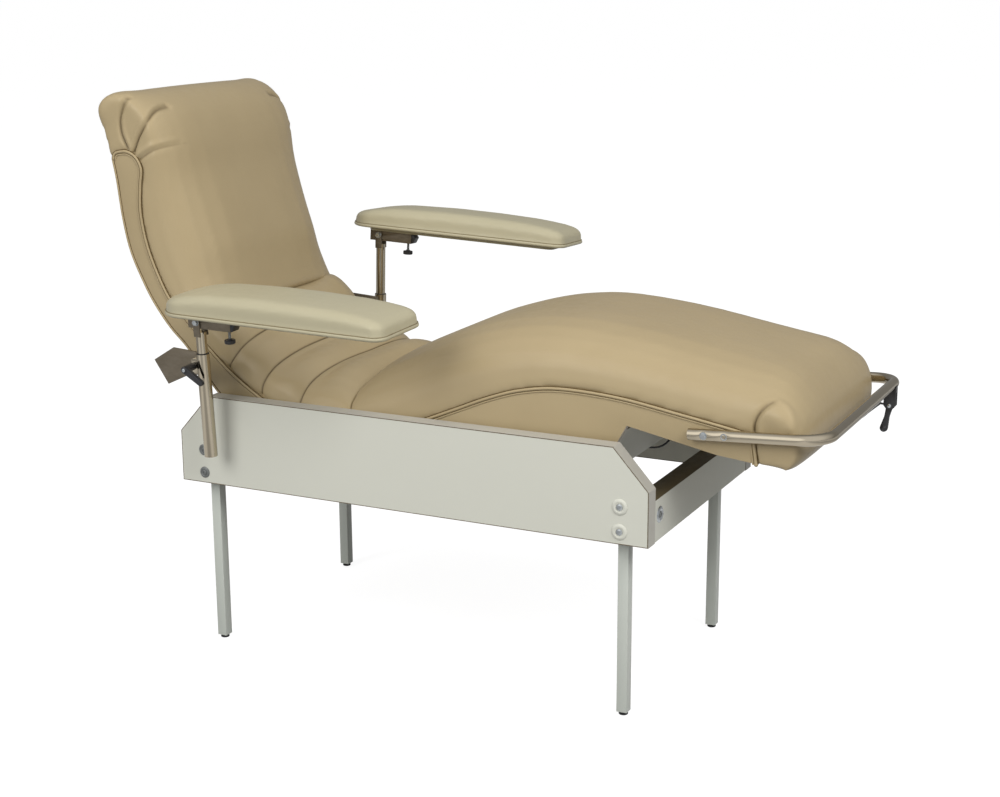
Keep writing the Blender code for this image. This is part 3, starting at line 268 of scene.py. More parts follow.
class Finishes:
    """The bed's finishes, each made once."""

    # Expanded PVC cloth with a calendered leather grain: satin, soft highlights, and dark brown painted shade
    # in its seams' valleys.
    # The real grain is about 1 mm; it is drawn at 2.6 mm to show at this distance.
    VINYL = Finish("calendered_tan_vinyl", "A69573", "9D8C6B", 0.40, grain_mm=2.6, relief=0.10,
                   cells=True, seam="4A3B20", coat=0.06)
    # The same cloth in a paler, greyer beige on the arm pads, with a paler brown for painted seam shade
    ARM_VINYL = Finish("calendered_beige_vinyl", "ADA68C", "A69F84", 0.40, grain_mm=2.6, relief=0.10,
                       cells=True, seam="6B5C3C", coat=0.06)
    # A dark bead laid in a sewn seam's valley as painted shadow: matt, in the brown of the cloth's cut edge
    SEAM = Finish("sewn_seam_valley", "5C4A2B", "4A3A20", 0.80, patch_mm=30, grain_mm=1.5, relief=0.2)
    # The same painted seam shadow in the paler cloth of the arm pads
    ARM_SEAM = Finish("sewn_pale_seam_valley", "83775C", "756A50", 0.80, patch_mm=30, grain_mm=1.5,
                      relief=0.2)
    # Melamine laminate on board: a flat matt grey with a faint cloud and a pearl-fine texture
    LAMINATE = Finish("melamine_grey_laminate", "C8C8BD", "C4C4B8", 0.52, patch_mm=420, grain_mm=1.8,
                      relief=0.05, gloss_spread=0.04)
    # Extruded PVC edge band: a little glossier than the board, with brush-like lines along it
    BAND = Finish("extruded_grey_edge_band", "B2AFA6", "A6A399", 0.38, patch_mm=60, grain_mm=3.0,
                  relief=0.08, stretch=(0.2, 1.0, 1.0))
    # The glue line and the phenolic core that show as a thin brown line along a laminate's edge
    CORE_LINE = Finish("phenolic_core_line", "62543F", "554733", 0.60, grain_mm=2.0)
    # A dark brown strip laid over the top of each cross panel
    DARK_BAND = Finish("dark_brown_edge_band", "60563F", "544A37", 0.48, patch_mm=80, grain_mm=3.0)
    # Powder coat on steel tube: pale grey-green, orange-peel of about 2 mm
    LEG_PAINT = Finish("powder_coated_grey_steel", "BFC3BB", "BABEB6", 0.36, grain_mm=2.2, relief=0.12,
                       coat=0.1)
    # Bright nickel plate on drawn tube: warm mirror with a slight drawing haze
    NICKEL = Finish("bright_nickel_tube", "C4BAA6", "B9AE99", 0.09, 1.0, patch_mm=90, grain_mm=1.6,
                    relief=0.01, gloss_spread=0.05)
    # Clear zinc plate on bolts: blue-white, dull sparkle
    ZINC = Finish("zinc_plated_steel", "CDD1D2", "B9BEC1", 0.26, 1.0, patch_mm=14, grain_mm=1.5,
                  relief=0.10, gloss_spread=0.10)
    # Bronzed hot-rolled steel on the arms' rails, forks and brackets: brown-grey, brushed and mottled
    BRONZED = Finish("bronzed_rolled_steel", "877E70", "726857", 0.46, 0.75, patch_mm=26, grain_mm=2.0,
                     relief=0.30, gloss_spread=0.12, stretch=(1.0, 1.0, 2.2))
    # Glass-filled nylon mouldings: near black, fine spark-eroded texture, soft highlights
    NYLON = Finish("moulded_black_nylon", "262628", "2E2E30", 0.36, patch_mm=30, grain_mm=1.6, relief=0.12)
    # Baked enamel on the gas spring: charcoal, smooth, softly glossy
    ENAMEL = Finish("charcoal_baked_enamel", "3A3A3A", "323232", 0.32, patch_mm=40, grain_mm=2.4,
                    relief=0.05, coat=0.2)
    # Cup washers of painted steel
    WASHER = Finish("grey_cup_washer", "7B7D7C", "6B6E6C", 0.36, 0.3, patch_mm=12, grain_mm=1.6)
    # Moulded rubber: dead matt black
    RUBBER = Finish("moulded_rubber", "2B2A29", "242322", 0.85, patch_mm=40, grain_mm=1.8, relief=0.2)
    # Extruded PVC jacket on the release cable: black, smooth, softly glossy
    JACKET = Finish("extruded_cable_jacket", "2A2A2C", "222224", 0.42, patch_mm=20, grain_mm=1.5,
                    relief=0.06)
    # Birch plywood: pale straw with long streaks of figure along the board
    PLYWOOD = Finish("birch_plywood", "C9A874", "AD8853", 0.62, patch_mm=60, grain_mm=4.0, relief=0.15,
                     stretch=(1.0, 0.08, 1.0))

    def __init__(self) -> None:
        """Start with no material made."""
        self.made: dict[str, bpy.types.Material] = {}

    def of(self, finish: Finish) -> bpy.types.Material:
        """Return a finish's material, made at its first use."""
        if finish.name not in self.made:
            self.made[finish.name] = finish.build()
        return self.made[finish.name]


FINISHES = Finishes()


def at(point: Sequence[float]) -> Vector:
    """Return a place that is given from the tilt axis, in millimetres, in the frame's axes."""
    return TILT_AXIS + Vector(point) * MM


def axes(origin: Vector, across: Vector, upward: Vector) -> Matrix:
    """Return the matrix of a right-handed frame from its origin, its Y and its Z."""
    across, upward = across.normalized(), upward.normalized()
    ahead = across.cross(upward).normalized()
    matrix = Matrix((ahead, upward.cross(ahead), upward)).transposed().to_4x4()
    matrix.translation = origin
    return matrix


def facing(origin: Vector, outward: Vector) -> Matrix:
    """Return a matrix whose Z points outward from a place."""
    matrix = outward.to_track_quat("Z", "Y").to_matrix().to_4x4()
    matrix.translation = origin
    return matrix


def body_of(node: str) -> str:
    """Return the body that a CAD node moves with."""
    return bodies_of(frame["nodes"][node])[0]


def new_object(name: str, data: bpy.types.ID) -> bpy.types.Object:
    """Add an object to the scene and return it."""
    made = bpy.data.objects.new(name, data)
    bpy.context.scene.collection.objects.link(made)
    return made


def to_data(mesh: BMesh, name: str) -> bpy.types.Mesh:
    """Return a bmesh as mesh data; the bmesh is freed."""
    data = bpy.data.meshes.new(name)
    mesh.to_mesh(data)
    mesh.free()
    return data


def surface(data: bpy.types.Mesh) -> BVHTree:
    """Return a mesh's surface, to find the nearest places on it."""
    return BVHTree.FromPolygons([vertex.co for vertex in data.vertices],
                                [face.vertices for face in data.polygons])


def settle(piece: bpy.types.Object, finish: Finish, body: str,
           stands_for: Sequence[str] = ()) -> bpy.types.Object:
    """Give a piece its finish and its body.

    Args:
        piece: the piece, in place.
        finish: its finish.
        body: the body that it moves with.
        stands_for: CAD nodes that it replaces.

    Returns:
        The piece.
    """
    piece.data.materials.clear()
    piece.data.materials.append(FINISHES.of(finish))
    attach(piece, body)
    if stands_for:
        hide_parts(*stands_for)
    LOG.info("%s on %s, %s", piece.name, body, finish.name)
    return piece


def add_piece(mesh: BMesh, name: str, finish: Finish, body: str,
              stands_for: Sequence[str] = (), sharp: float = 38.0) -> bpy.types.Object:
    """Turn a bmesh into a finished piece that rides on a body.

    Args:
        mesh: the piece in the frame's axes; it is freed.
        name: the piece's name.
        finish: its finish.
        body: the body that it moves with.
        stands_for: CAD nodes that it replaces.
        sharp: edges over this angle, in degrees, stay sharp.

    Returns:
        The new object.
    """
    bmesh.ops.remove_doubles(mesh, verts=mesh.verts, dist=WELD)
    bmesh.ops.recalc_face_normals(mesh, faces=mesh.faces)
    data = to_data(mesh, name)
    data.shade_smooth()
    data.set_sharp_from_angle(angle=radians(sharp))
    return settle(new_object(name, data), finish, body, stands_for)


def from_node(node: str) -> BMesh:
    """Return a merged copy of a CAD node's mesh."""
    mesh = bmesh.new()
    mesh.from_mesh(frame["nodes"][node].data)
    bmesh.ops.remove_doubles(mesh, verts=mesh.verts, dist=CAD_WELD)
    return mesh


def round_edges(mesh: BMesh, edges: Iterable[BMEdge], size: float, segments: int = 3) -> None:
    """Round edges of a bmesh.

    Args:
        mesh: the bmesh.
        edges: the edges.
        size: the bevel's width in metres.
        segments: faces across the bevel.
    """
    bmesh.ops.bevel(mesh, geom=list(edges), offset=size, affect="EDGES", segments=segments, profile=0.5,
                    material=-1, clamp_overlap=True)


def sharp_edges(mesh: BMesh, least: float) -> list[BMEdge]:
    """Clear away the edges in flat faces, and return those over an angle in degrees."""
    bmesh.ops.dissolve_limit(mesh, angle_limit=radians(FLAT), verts=mesh.verts, edges=mesh.edges)
    return [edge for edge in mesh.edges if edge.is_manifold and edge.calc_face_angle() > radians(least)]


def softened(node: str, size: float) -> BMesh:
    """Return a copy of a CAD node with its sharp edges rounded by a width in metres."""
    mesh = from_node(node)
    round_edges(mesh, sharp_edges(mesh, CORNER), size, 2)
    bmesh.ops.triangulate(mesh, faces=[face for face in mesh.faces if len(face.verts) > 4])
    return mesh


def move_points(mesh: BMesh, made: Iterable, way: Sequence[float]) -> None:
    """Move the points among newly made geometry."""
    bmesh.ops.translate(mesh, verts=[item for item in made if isinstance(item, BMVert)], vec=way)


def cut(mesh: BMesh, place: Vector, normal: Vector) -> None:
    """Cut every face along a plane."""
    bmesh.ops.bisect_plane(mesh, geom=mesh.verts[:] + mesh.edges[:] + mesh.faces[:], plane_co=place,
                           plane_no=normal)


def slab(outline: Sequence[Vector], depth: Vector, bevel: float = 0.0, segments: int = 2) -> BMesh:
    """Extrude an outline into a slab and round its edges.

    Args:
        outline: the corners, in order.
        depth: the way and length of the extrusion.
        bevel: the width of the rounding, or 0.
        segments: faces across the rounding.

    Returns:
        A new bmesh.
    """
    mesh = bmesh.new()
    face = mesh.faces.new([mesh.verts.new(corner) for corner in outline])
    move_points(mesh, bmesh.ops.extrude_face_region(mesh, geom=[face])["geom"], depth)
    bmesh.ops.recalc_face_normals(mesh, faces=mesh.faces)
    if bevel:
        round_edges(mesh, mesh.edges[:], bevel, segments)
    return mesh


def plate(place: Matrix, outline: Line, low: float, thick: float, bevel: float) -> BMesh:
    """Return a plate whose thickness runs along a piece's own Y, in millimetres.

    Args:
        place: the piece's own axes.
        outline: x and z of the plate's corners.
        low: the y at which it starts.
        thick: its thickness.
        bevel: the rounding of its edges.

    Returns:
        A new bmesh.
    """
    corners = [place @ (Vector((x, low, z)) * MM) for x, z in outline]
    return slab(corners, place.to_3x3() @ Vector((0, thick * MM, 0)), bevel * MM)


def lathe(profile: Sequence[tuple[float, float]], place: Matrix, steps: int = 32, ridges: int = 0,
          dent: float = 0.0) -> BMesh:
    """Spin a profile about Z and place it.

    Args:
        profile: radius and height of each point, in millimetres.
        place: the matrix from the piece's own axes to the frame's.
        steps: faces round it.
        ridges: grip ridges round it.
        dent: depth of the valleys between them, as a share of the radius.

    Returns:
        A new bmesh.
    """
    mesh = bmesh.new()
    points = [mesh.verts.new((radius * MM, 0, height * MM)) for radius, height in profile]
    edges = [mesh.edges.new(pair) for pair in zip(points, points[1:])]
    bmesh.ops.spin(mesh, geom=points + edges, cent=(0, 0, 0), axis=(0, 0, 1), angle=2 * pi, steps=steps,
                   use_merge=True)
    bmesh.ops.remove_doubles(mesh, verts=mesh.verts, dist=LATHE_WELD)
    widest = max(radius for radius, _ in profile) * MM
    for point in mesh.verts:
        if ridges and point.co.xy.length > widest * GRIP_SHARE:
            wave = 1 - dent * (0.5 - 0.5 * cos(ridges * atan2(point.co.y, point.co.x)))
            point.co.xy = point.co.xy * wave
    bmesh.ops.transform(mesh, matrix=place, verts=mesh.verts)
    return mesh


def rod(radius: float, low: float, high: float) -> Line:
    """Return the closed profile of a plain rod."""
    return ((0, low), (radius, low), (radius, high), (0, high))


def cord_curve(name: str, points: Sequence[Vector], radius: float, closed: bool = False) -> bpy.types.Object:
    """Return a round curve object along a line.

    Args:
        name: the object's name.
        points: the line.
        radius: the curve's radius.
        closed: whether the line is a ring.

    Returns:
        The new object.
    """
    data = bpy.data.curves.new(name, "CURVE")
    data.dimensions = "3D"
    data.bevel_depth = radius
    data.bevel_resolution = 3
    data.use_fill_caps = True
    spline = data.splines.new("POLY")
    spline.points.add(len(points) - 1)
    for target, point in zip(spline.points, points):
        target.co = (*point, 1.0)
    spline.use_cyclic_u = closed
    return new_object(name, data)


def bead(points: Sequence[Vector], radius: float, closed: bool = False) -> BMesh:
    """Return a round bead along a line.

    Args:
        points: the line.
        radius: the bead's radius.
        closed: whether the line is a ring.

    Returns:
        A new bmesh.
    """
    holder = cord_curve("bead", points, radius, closed)
    solid = bpy.data.meshes.new_from_object(holder.evaluated_get(bpy.context.evaluated_depsgraph_get()))
    mesh = bmesh.new()
    mesh.from_mesh(solid)
    data = holder.data
    bpy.data.objects.remove(holder)
    bpy.data.curves.remove(data)
    bpy.data.meshes.remove(solid)
    return mesh


def tube_ring(mesh: BMesh, radius: float, place: Matrix) -> list[BMEdge]:
    """Add the circle that a tube is drawn from and return its edges."""
    made = bmesh.ops.create_circle(mesh, segments=TUBE_FACES, radius=radius)
    bmesh.ops.transform(mesh, matrix=place, verts=made["verts"])
    return mesh.edges[:]


def pull(mesh: BMesh, edges: list[BMEdge], way: Vector, steps: int = 1) -> list[BMEdge]:
    """Draw a tube's end ring straight on, and return the new end ring."""
    for _ in range(steps):
        grown = bmesh.ops.extrude_edge_only(mesh, edges=edges)["geom"]
        move_points(mesh, grown, way / steps)
        edges = [item for item in grown if isinstance(item, BMEdge)]
    return edges


def bend(mesh: BMesh, edges: list[BMEdge], centre: Vector, axis: Vector) -> list[BMEdge]:
    """Bend a tube's end ring through a right angle, and return the new end ring."""
    points = list({point for edge in edges for point in edge.verts})
    grown = bmesh.ops.spin(mesh, geom=points + edges, cent=centre, axis=axis, angle=pi / 2, steps=BEND_STEPS)
    return [item for item in grown["geom_last"] if isinstance(item, BMEdge)]


def thicken(mesh: BMesh, wall: float) -> None:
    """Give a drawn tube its wall."""
    bmesh.ops.recalc_face_normals(mesh, faces=mesh.faces)
    bmesh.ops.solidify(mesh, geom=mesh.faces[:], thickness=wall)


def merged(parts: Sequence[BMesh]) -> BMesh:
    """Put several bmeshes into one; the parts are freed."""
    whole = bmesh.new()
    for part in parts:
        data = to_data(part, "part")
        whole.from_mesh(data)
        bpy.data.meshes.remove(data)
    return whole


def smooth_line(points: Sequence[Sequence[float]], steps: int) -> list[Vector]:
    """Return points on a Catmull-Rom curve through others.

    Args:
        points: the points that it passes through.
        steps: new points to each span.

    Returns:
        The points of the curve.
    """
    rows = [Vector(point) for point in points]
    padded = [2 * rows[0] - rows[1]] + rows + [2 * rows[-1] - rows[-2]]
    line = []
    for index in range(len(rows) - 1):
        before, start, end, after = padded[index:index + 4]
        for step in range(steps):
            share = step / steps
            line.append(0.5 * (2 * start + (end - before) * share
                               + (2 * before - 5 * start + 4 * end - after) * share ** 2
                               + (3 * start - before - 3 * end + after) * share ** 3))
    line.append(rows[-1])
    return line


def nearest_on_line(points: np.ndarray, line: np.ndarray) -> tuple[np.ndarray, ...]:
    """Find where points come closest to a line of short runs.

    Args:
        points: places, one to a row.
        line: the line's points.

    Returns:
        The gap, the share along the line, the nearest place and the line's way there.
    """
    runs = np.linalg.norm(np.diff(line, axis=0), axis=1)
    passed = np.concatenate([[0.0], np.cumsum(runs)])
    gap = np.full(len(points), 1e9)
    share = np.zeros(len(points))
    foot = np.zeros_like(points)
    way = np.zeros_like(points)
    for index, run in enumerate(runs):
        along = line[index + 1] - line[index]
        reach = np.clip((points - line[index]) @ along / max(run * run, 1e-12), 0, 1)
        place = line[index] + reach[:, None] * along
        distance = np.linalg.norm(points - place, axis=1)
        closer = distance < gap
        gap[closer] = distance[closer]
        share[closer] = (passed[index] + reach[closer] * run) / passed[-1]
        foot[closer] = place[closer]
        way[closer] = along / max(run, 1e-9)
    return gap, share, foot, way


@dataclass(frozen=True)
class Fold:
    """A seam, gather or dart: a valley along a line with a lip beside it, and shade painted in the valley.

    Places are from the tilt axis, in millimetres. side is 0 for a lip on both sides, or 1 or -1 for
    a pleat on one. start and end are the strength at the line's two ends. flare widens the valley into
    a rounded pocket towards its end, and bed is a broad soft hollow, or a ridge where it is negative.
    faint is the lip's strength on a pleat's other side, and opening how late the pocket opens. pocket
    and stain are the widths of the pocket and of the line of painted shade as shares of the
    valley's, lip_width is the lip's as a share of its reach, dark is how strong the painted shade is, and
    pale is how much of that shade the pocket loses.
    """

    points: tuple[Point, ...]
    depth: float
    width: float
    lip: float = 0.0
    reach: float = 12.0
    side: int = 0
    start: float = 1.0
    end: float = 1.0
    dark: float = 1.0
    flare: float = 0.0
    bed: float = 0.0
    bed_width: float = 18.0
    faint: float = 0.15
    opening: float = 1.2
    pocket: float = 1.15
    # Width of the line of painted shade along the valley, as a share of the valley's width
    stain: float = 0.6
    lip_width: float = 0.55
    pale: float = 0.2

    def mirrored(self) -> "Fold":
        """Return the same fold on the other side of the bed."""
        return replace(self, points=tuple((x, -y, z) for x, y, z in self.points), side=-self.side)

    def relief(self, gap: np.ndarray, share: np.ndarray, turn: np.ndarray) -> tuple[np.ndarray, np.ndarray]:
        """Work out how the fold raises points beside it and how much shade is painted on them.

        Args:
            gap: the points' distances from the line, in millimetres.
            share: how far along the line each of them lies.
            turn: the side of the line that each lies on, by its sign.

        Returns:
            The rise in millimetres and the painted shade of each point.
        """
        beside = np.where(turn * self.side > 0, 1.0, self.faint) if self.side else 1.0
        strength = self.start + (self.end - self.start) * share
        bowl = np.clip(share * (1 + self.opening) - self.opening, 0, 1) * min(self.flare, 1.0)
        width = self.width * (1 + self.flare * share ** 3)
        cusp = np.exp(-gap / width)
        hollow = np.exp(-(gap / (width * self.pocket)) ** 2)
        valley = (cusp * (1 - bowl) + hollow * bowl) * self.depth
        lip = np.exp(-((gap - self.reach) / (self.reach * self.lip_width)) ** 2) * self.lip
        bed = np.exp(-(gap / self.bed_width) ** 2) * self.bed
        # Shade painted along the valley, weaker where the pocket opens
        dark = self.dark * strength * np.exp(-(gap / (width * self.stain)) ** 2) * (1 - self.pale * bowl)
        return strength * (lip * beside - valley - bed), dark


class PaddedPiece:
    """A cushion or pad that starts from its CAD solid, swells and takes seams."""

    # Each round of smoothing draws the points in, then pushes them out a little further
    RELAX = (0.5, -0.52)
    # Cloth that is held at its base, stiff enough to keep the form, and filled by pressure
    CLOTH = {"use_pressure": True, "uniform_pressure_force": 4.0, "vertex_group_mass": "held", "quality": 4,
             "tension_stiffness": 12, "compression_stiffness": 12, "bending_stiffness": 8}
    FRAMES = 20
    # Rounds of evening out: of what is held, the swelling, the surface beside folds and their lines
    HOLD_ROUNDS = 6
    SWELL_ROUNDS = 120
    EASE_ROUNDS = 40
    LINE_ROUNDS = 4
    LINE_STEPS = 6

    def __init__(self, node: str, voxel: float, relax: int, mesh: Optional[BMesh] = None) -> None:
        """Copy the solid and give it an even mesh.

        Args:
            node: the CAD node.
            voxel: size of the even mesh, in metres.
            relax: rounds of smoothing.
            mesh: a form to start from in the solid's stead; it is freed.
        """
        self.node = node
        name = node + "_upholstery"
        self.piece = new_object(name, to_data(mesh or from_node(node), name))
        remesh = self.piece.modifiers.new("even", "REMESH")
        remesh.mode = "VOXEL"
        remesh.voxel_size = voxel
        self.bake()
        self.relax(relax)

    def bake(self) -> None:
        """Apply the modifiers."""
        graph = bpy.context.evaluated_depsgraph_get()
        made = bpy.data.meshes.new_from_object(self.piece.evaluated_get(graph))
        old = self.piece.data
        self.piece.modifiers.clear()
        self.piece.data = made
        bpy.data.meshes.remove(old)

    def relax(self, rounds: int) -> None:
        """Smooth the points without shrinking the form."""
        places = self.read("co")
        for _ in range(rounds):
            for step in self.RELAX:
                places = places + (self.mean_beside(places) - places) * step
        self.write(places)

    def mean_beside(self, values: np.ndarray) -> np.ndarray:
        """Return the mean of the values at each point's neighbours."""
        pairs = np.zeros(len(self.piece.data.edges) * 2, np.int32)
        self.piece.data.edges.foreach_get("vertices", pairs)
        first, second = pairs.reshape(-1, 2).T
        total = np.zeros_like(values)
        np.add.at(total, first, values[second])
        np.add.at(total, second, values[first])
        return total / np.maximum(np.bincount(pairs, minlength=len(values)), 1)[:, None]

    def spread(self, values: np.ndarray, rounds: int) -> np.ndarray:
        """Even out values over the piece's surface."""
        for _ in range(rounds):
            values = (values + self.mean_beside(values)) / 2
        return values

    def read(self, what: str) -> np.ndarray:
        """Return the points' places ("co") or normals ("normal"), one to a row."""
        values = np.zeros(len(self.piece.data.vertices) * 3, np.float32)
        source = self.piece.data.vertices if what == "co" else self.piece.data.vertex_normals
        source.foreach_get("co" if what == "co" else "vector", values)
        return values.reshape(-1, 3).astype(float)

    def write(self, places: np.ndarray) -> None:
        """Move the points to new places."""
        self.piece.data.vertices.foreach_set("co", places.astype(np.float32).ravel())
        self.piece.data.update()

    def swell(self, held: np.ndarray, shrink: float, cap: float) -> None:
        """Draw the piece in a little and let a short cloth simulation fill it.

        Args:
            held: the points that stay.
            shrink: how far the others are drawn in first.
            cap: how far a point may move.
        """
        free = (~held).astype(float)[:, None]
        free = free * self.spread(free, self.HOLD_ROUNDS)
        before = self.read("co") - self.read("normal") * free * shrink
        self.write(before)
        group = self.piece.vertex_groups.new(name="held")
        group.add(np.flatnonzero(held).tolist(), 1.0, "REPLACE")
        cloth = self.piece.modifiers.new("swell", "CLOTH")
        for name, value in self.CLOTH.items():
            setattr(cloth.settings, name, value)
        cloth.settings.effector_weights.gravity = 0
        scene = bpy.context.scene
        for step in range(self.FRAMES):
            scene.frame_set(step + 1)
        solved = self.piece.evaluated_get(bpy.context.evaluated_depsgraph_get()).to_mesh()
        after = np.zeros(len(solved.vertices) * 3, np.float32)
        solved.vertices.foreach_get("co", after)
        move = after.reshape(-1, 3) - before
        self.piece.modifiers.clear()
        self.piece.vertex_groups.clear()
        scene.frame_set(1)
        normals = self.read("normal")
        rise = np.clip(np.einsum("ij,ij->i", move, normals), 0, cap)[:, None]
        rise = self.spread(rise, self.SWELL_ROUNDS)
        self.write(before + normals * free * rise)
        LOG.info("%s swelled %.1f mm, %.1f mm at most", self.node, rise.mean() / MM, rise.max() / MM)

    def subdivide(self) -> None:
        """Add one level of subdivision."""
        finer = self.piece.modifiers.new("finer", "SUBSURF")
        finer.levels = finer.render_levels = 1
        self.bake()

    def line_of(self, fold: Fold) -> np.ndarray:
        """Lay a fold's line on the piece's surface."""
        skin = surface(self.piece.data)
        raw = smooth_line([at(point) for point in fold.points], self.LINE_STEPS)
        line = np.array([skin.find_nearest(point)[0] for point in raw])
        for _ in range(self.LINE_ROUNDS):
            line[1:-1] = (line[:-2] + 2 * line[1:-1] + line[2:]) / 4
        return line

    def ease(self, folds: Sequence[Fold], reach: float, weight: np.ndarray) -> None:
        """Even out the surface beside the folds, as far as a weight from 0 to 1 lets each point move."""
        places = self.read("co")
        gaps = [nearest_on_line(places, self.line_of(fold))[0] for fold in folds]
        share = (weight * np.exp(-(np.min(gaps, axis=0) / reach) ** 2))[:, None]
        for _ in range(self.EASE_ROUNDS):
            places = places + (self.mean_beside(places) - places) * share / 2
        self.write(places)

    def refine(self, folds: Sequence[Fold], reach: float) -> None:
        """Divide the faces near the folds once more."""
        lines = [self.line_of(fold) for fold in folds]
        mesh = bmesh.new()
        mesh.from_mesh(self.piece.data)
        middles = np.array([(edge.verts[0].co + edge.verts[1].co) / 2 for edge in mesh.edges])
        near = np.zeros(len(middles), bool)
        for line in lines:
            low, high = line.min(0) - reach, line.max(0) + reach
            inside = np.flatnonzero(((middles > low) & (middles < high)).all(1))
            near[inside] |= nearest_on_line(middles[inside], line)[0] < reach
        mesh.edges.ensure_lookup_table()
        chosen = [mesh.edges[index] for index in np.flatnonzero(near)]
        bmesh.ops.subdivide_edges(mesh, edges=chosen, cuts=1, use_grid_fill=True, smooth=0.0)
        mesh.to_mesh(self.piece.data)
        mesh.free()

    def sew(self, folds: Sequence[Fold]) -> None:
        """Press the folds into the surface and paint shade into their valleys, in the seam attribute."""
        shade = np.zeros(len(self.piece.data.vertices))
        for fold in folds:
            places, normals = self.read("co"), self.read("normal")
            gap, share, foot, way = nearest_on_line(places, self.line_of(fold))
            turn = np.einsum("ij,ij->i", np.cross(way, normals), places - foot)
            rise, dark = fold.relief(gap / MM, share, turn)
            self.write(places + normals * (rise * MM)[:, None])
            shade = np.maximum(shade, dark)
        # The seam attribute holds the painted shade that the finish blends towards its seam colour
        attribute = self.piece.data.attributes.new("seam", "FLOAT", "POINT")
        attribute.data.foreach_set("value", np.clip(shade, 0, 1).astype(np.float32))

    def puff(self, centre: Sequence[float], radius: float, height: float) -> None:
        """Raise a soft swelling round a place from the tilt axis, in millimetres."""
        places, normals = self.read("co"), self.read("normal")
        gap = np.linalg.norm(places - np.array(at(centre)), axis=1)
        self.write(places + normals * (np.exp(-(gap / (radius * MM)) ** 2) * height * MM)[:, None])

    def finish(self, finish: Finish, body: str, slot: str, fill: float) -> None:
        self.piece.data.shade_smooth()
        settle(self.piece, finish, body, (self.node,))


@dataclass(frozen=True)
class Stuffing:
    """How one cushion is filled: the mesh's size, the smoothing and the swelling, in millimetres.

    puffs are soft swellings on the left with a twin on the right: a place, a radius and a height. eased
    is whether the surface is evened out beside the folds before it swells.
    """

    node: str
    voxel: float
    relax: int
    shrink: float
    cap: float
    puffs: tuple[tuple[Point, float, float], ...] = ()
    eased: bool = False


@dataclass(frozen=True)
class Piping:
    """A bead along a line of the lounge's side, in millimetres.

    proud is how far its middle stands out of the side, and inset how far it lies to the line's right.
    """

    name: str
    proud: float
    radius: float
    inset: float
    finish: Finish


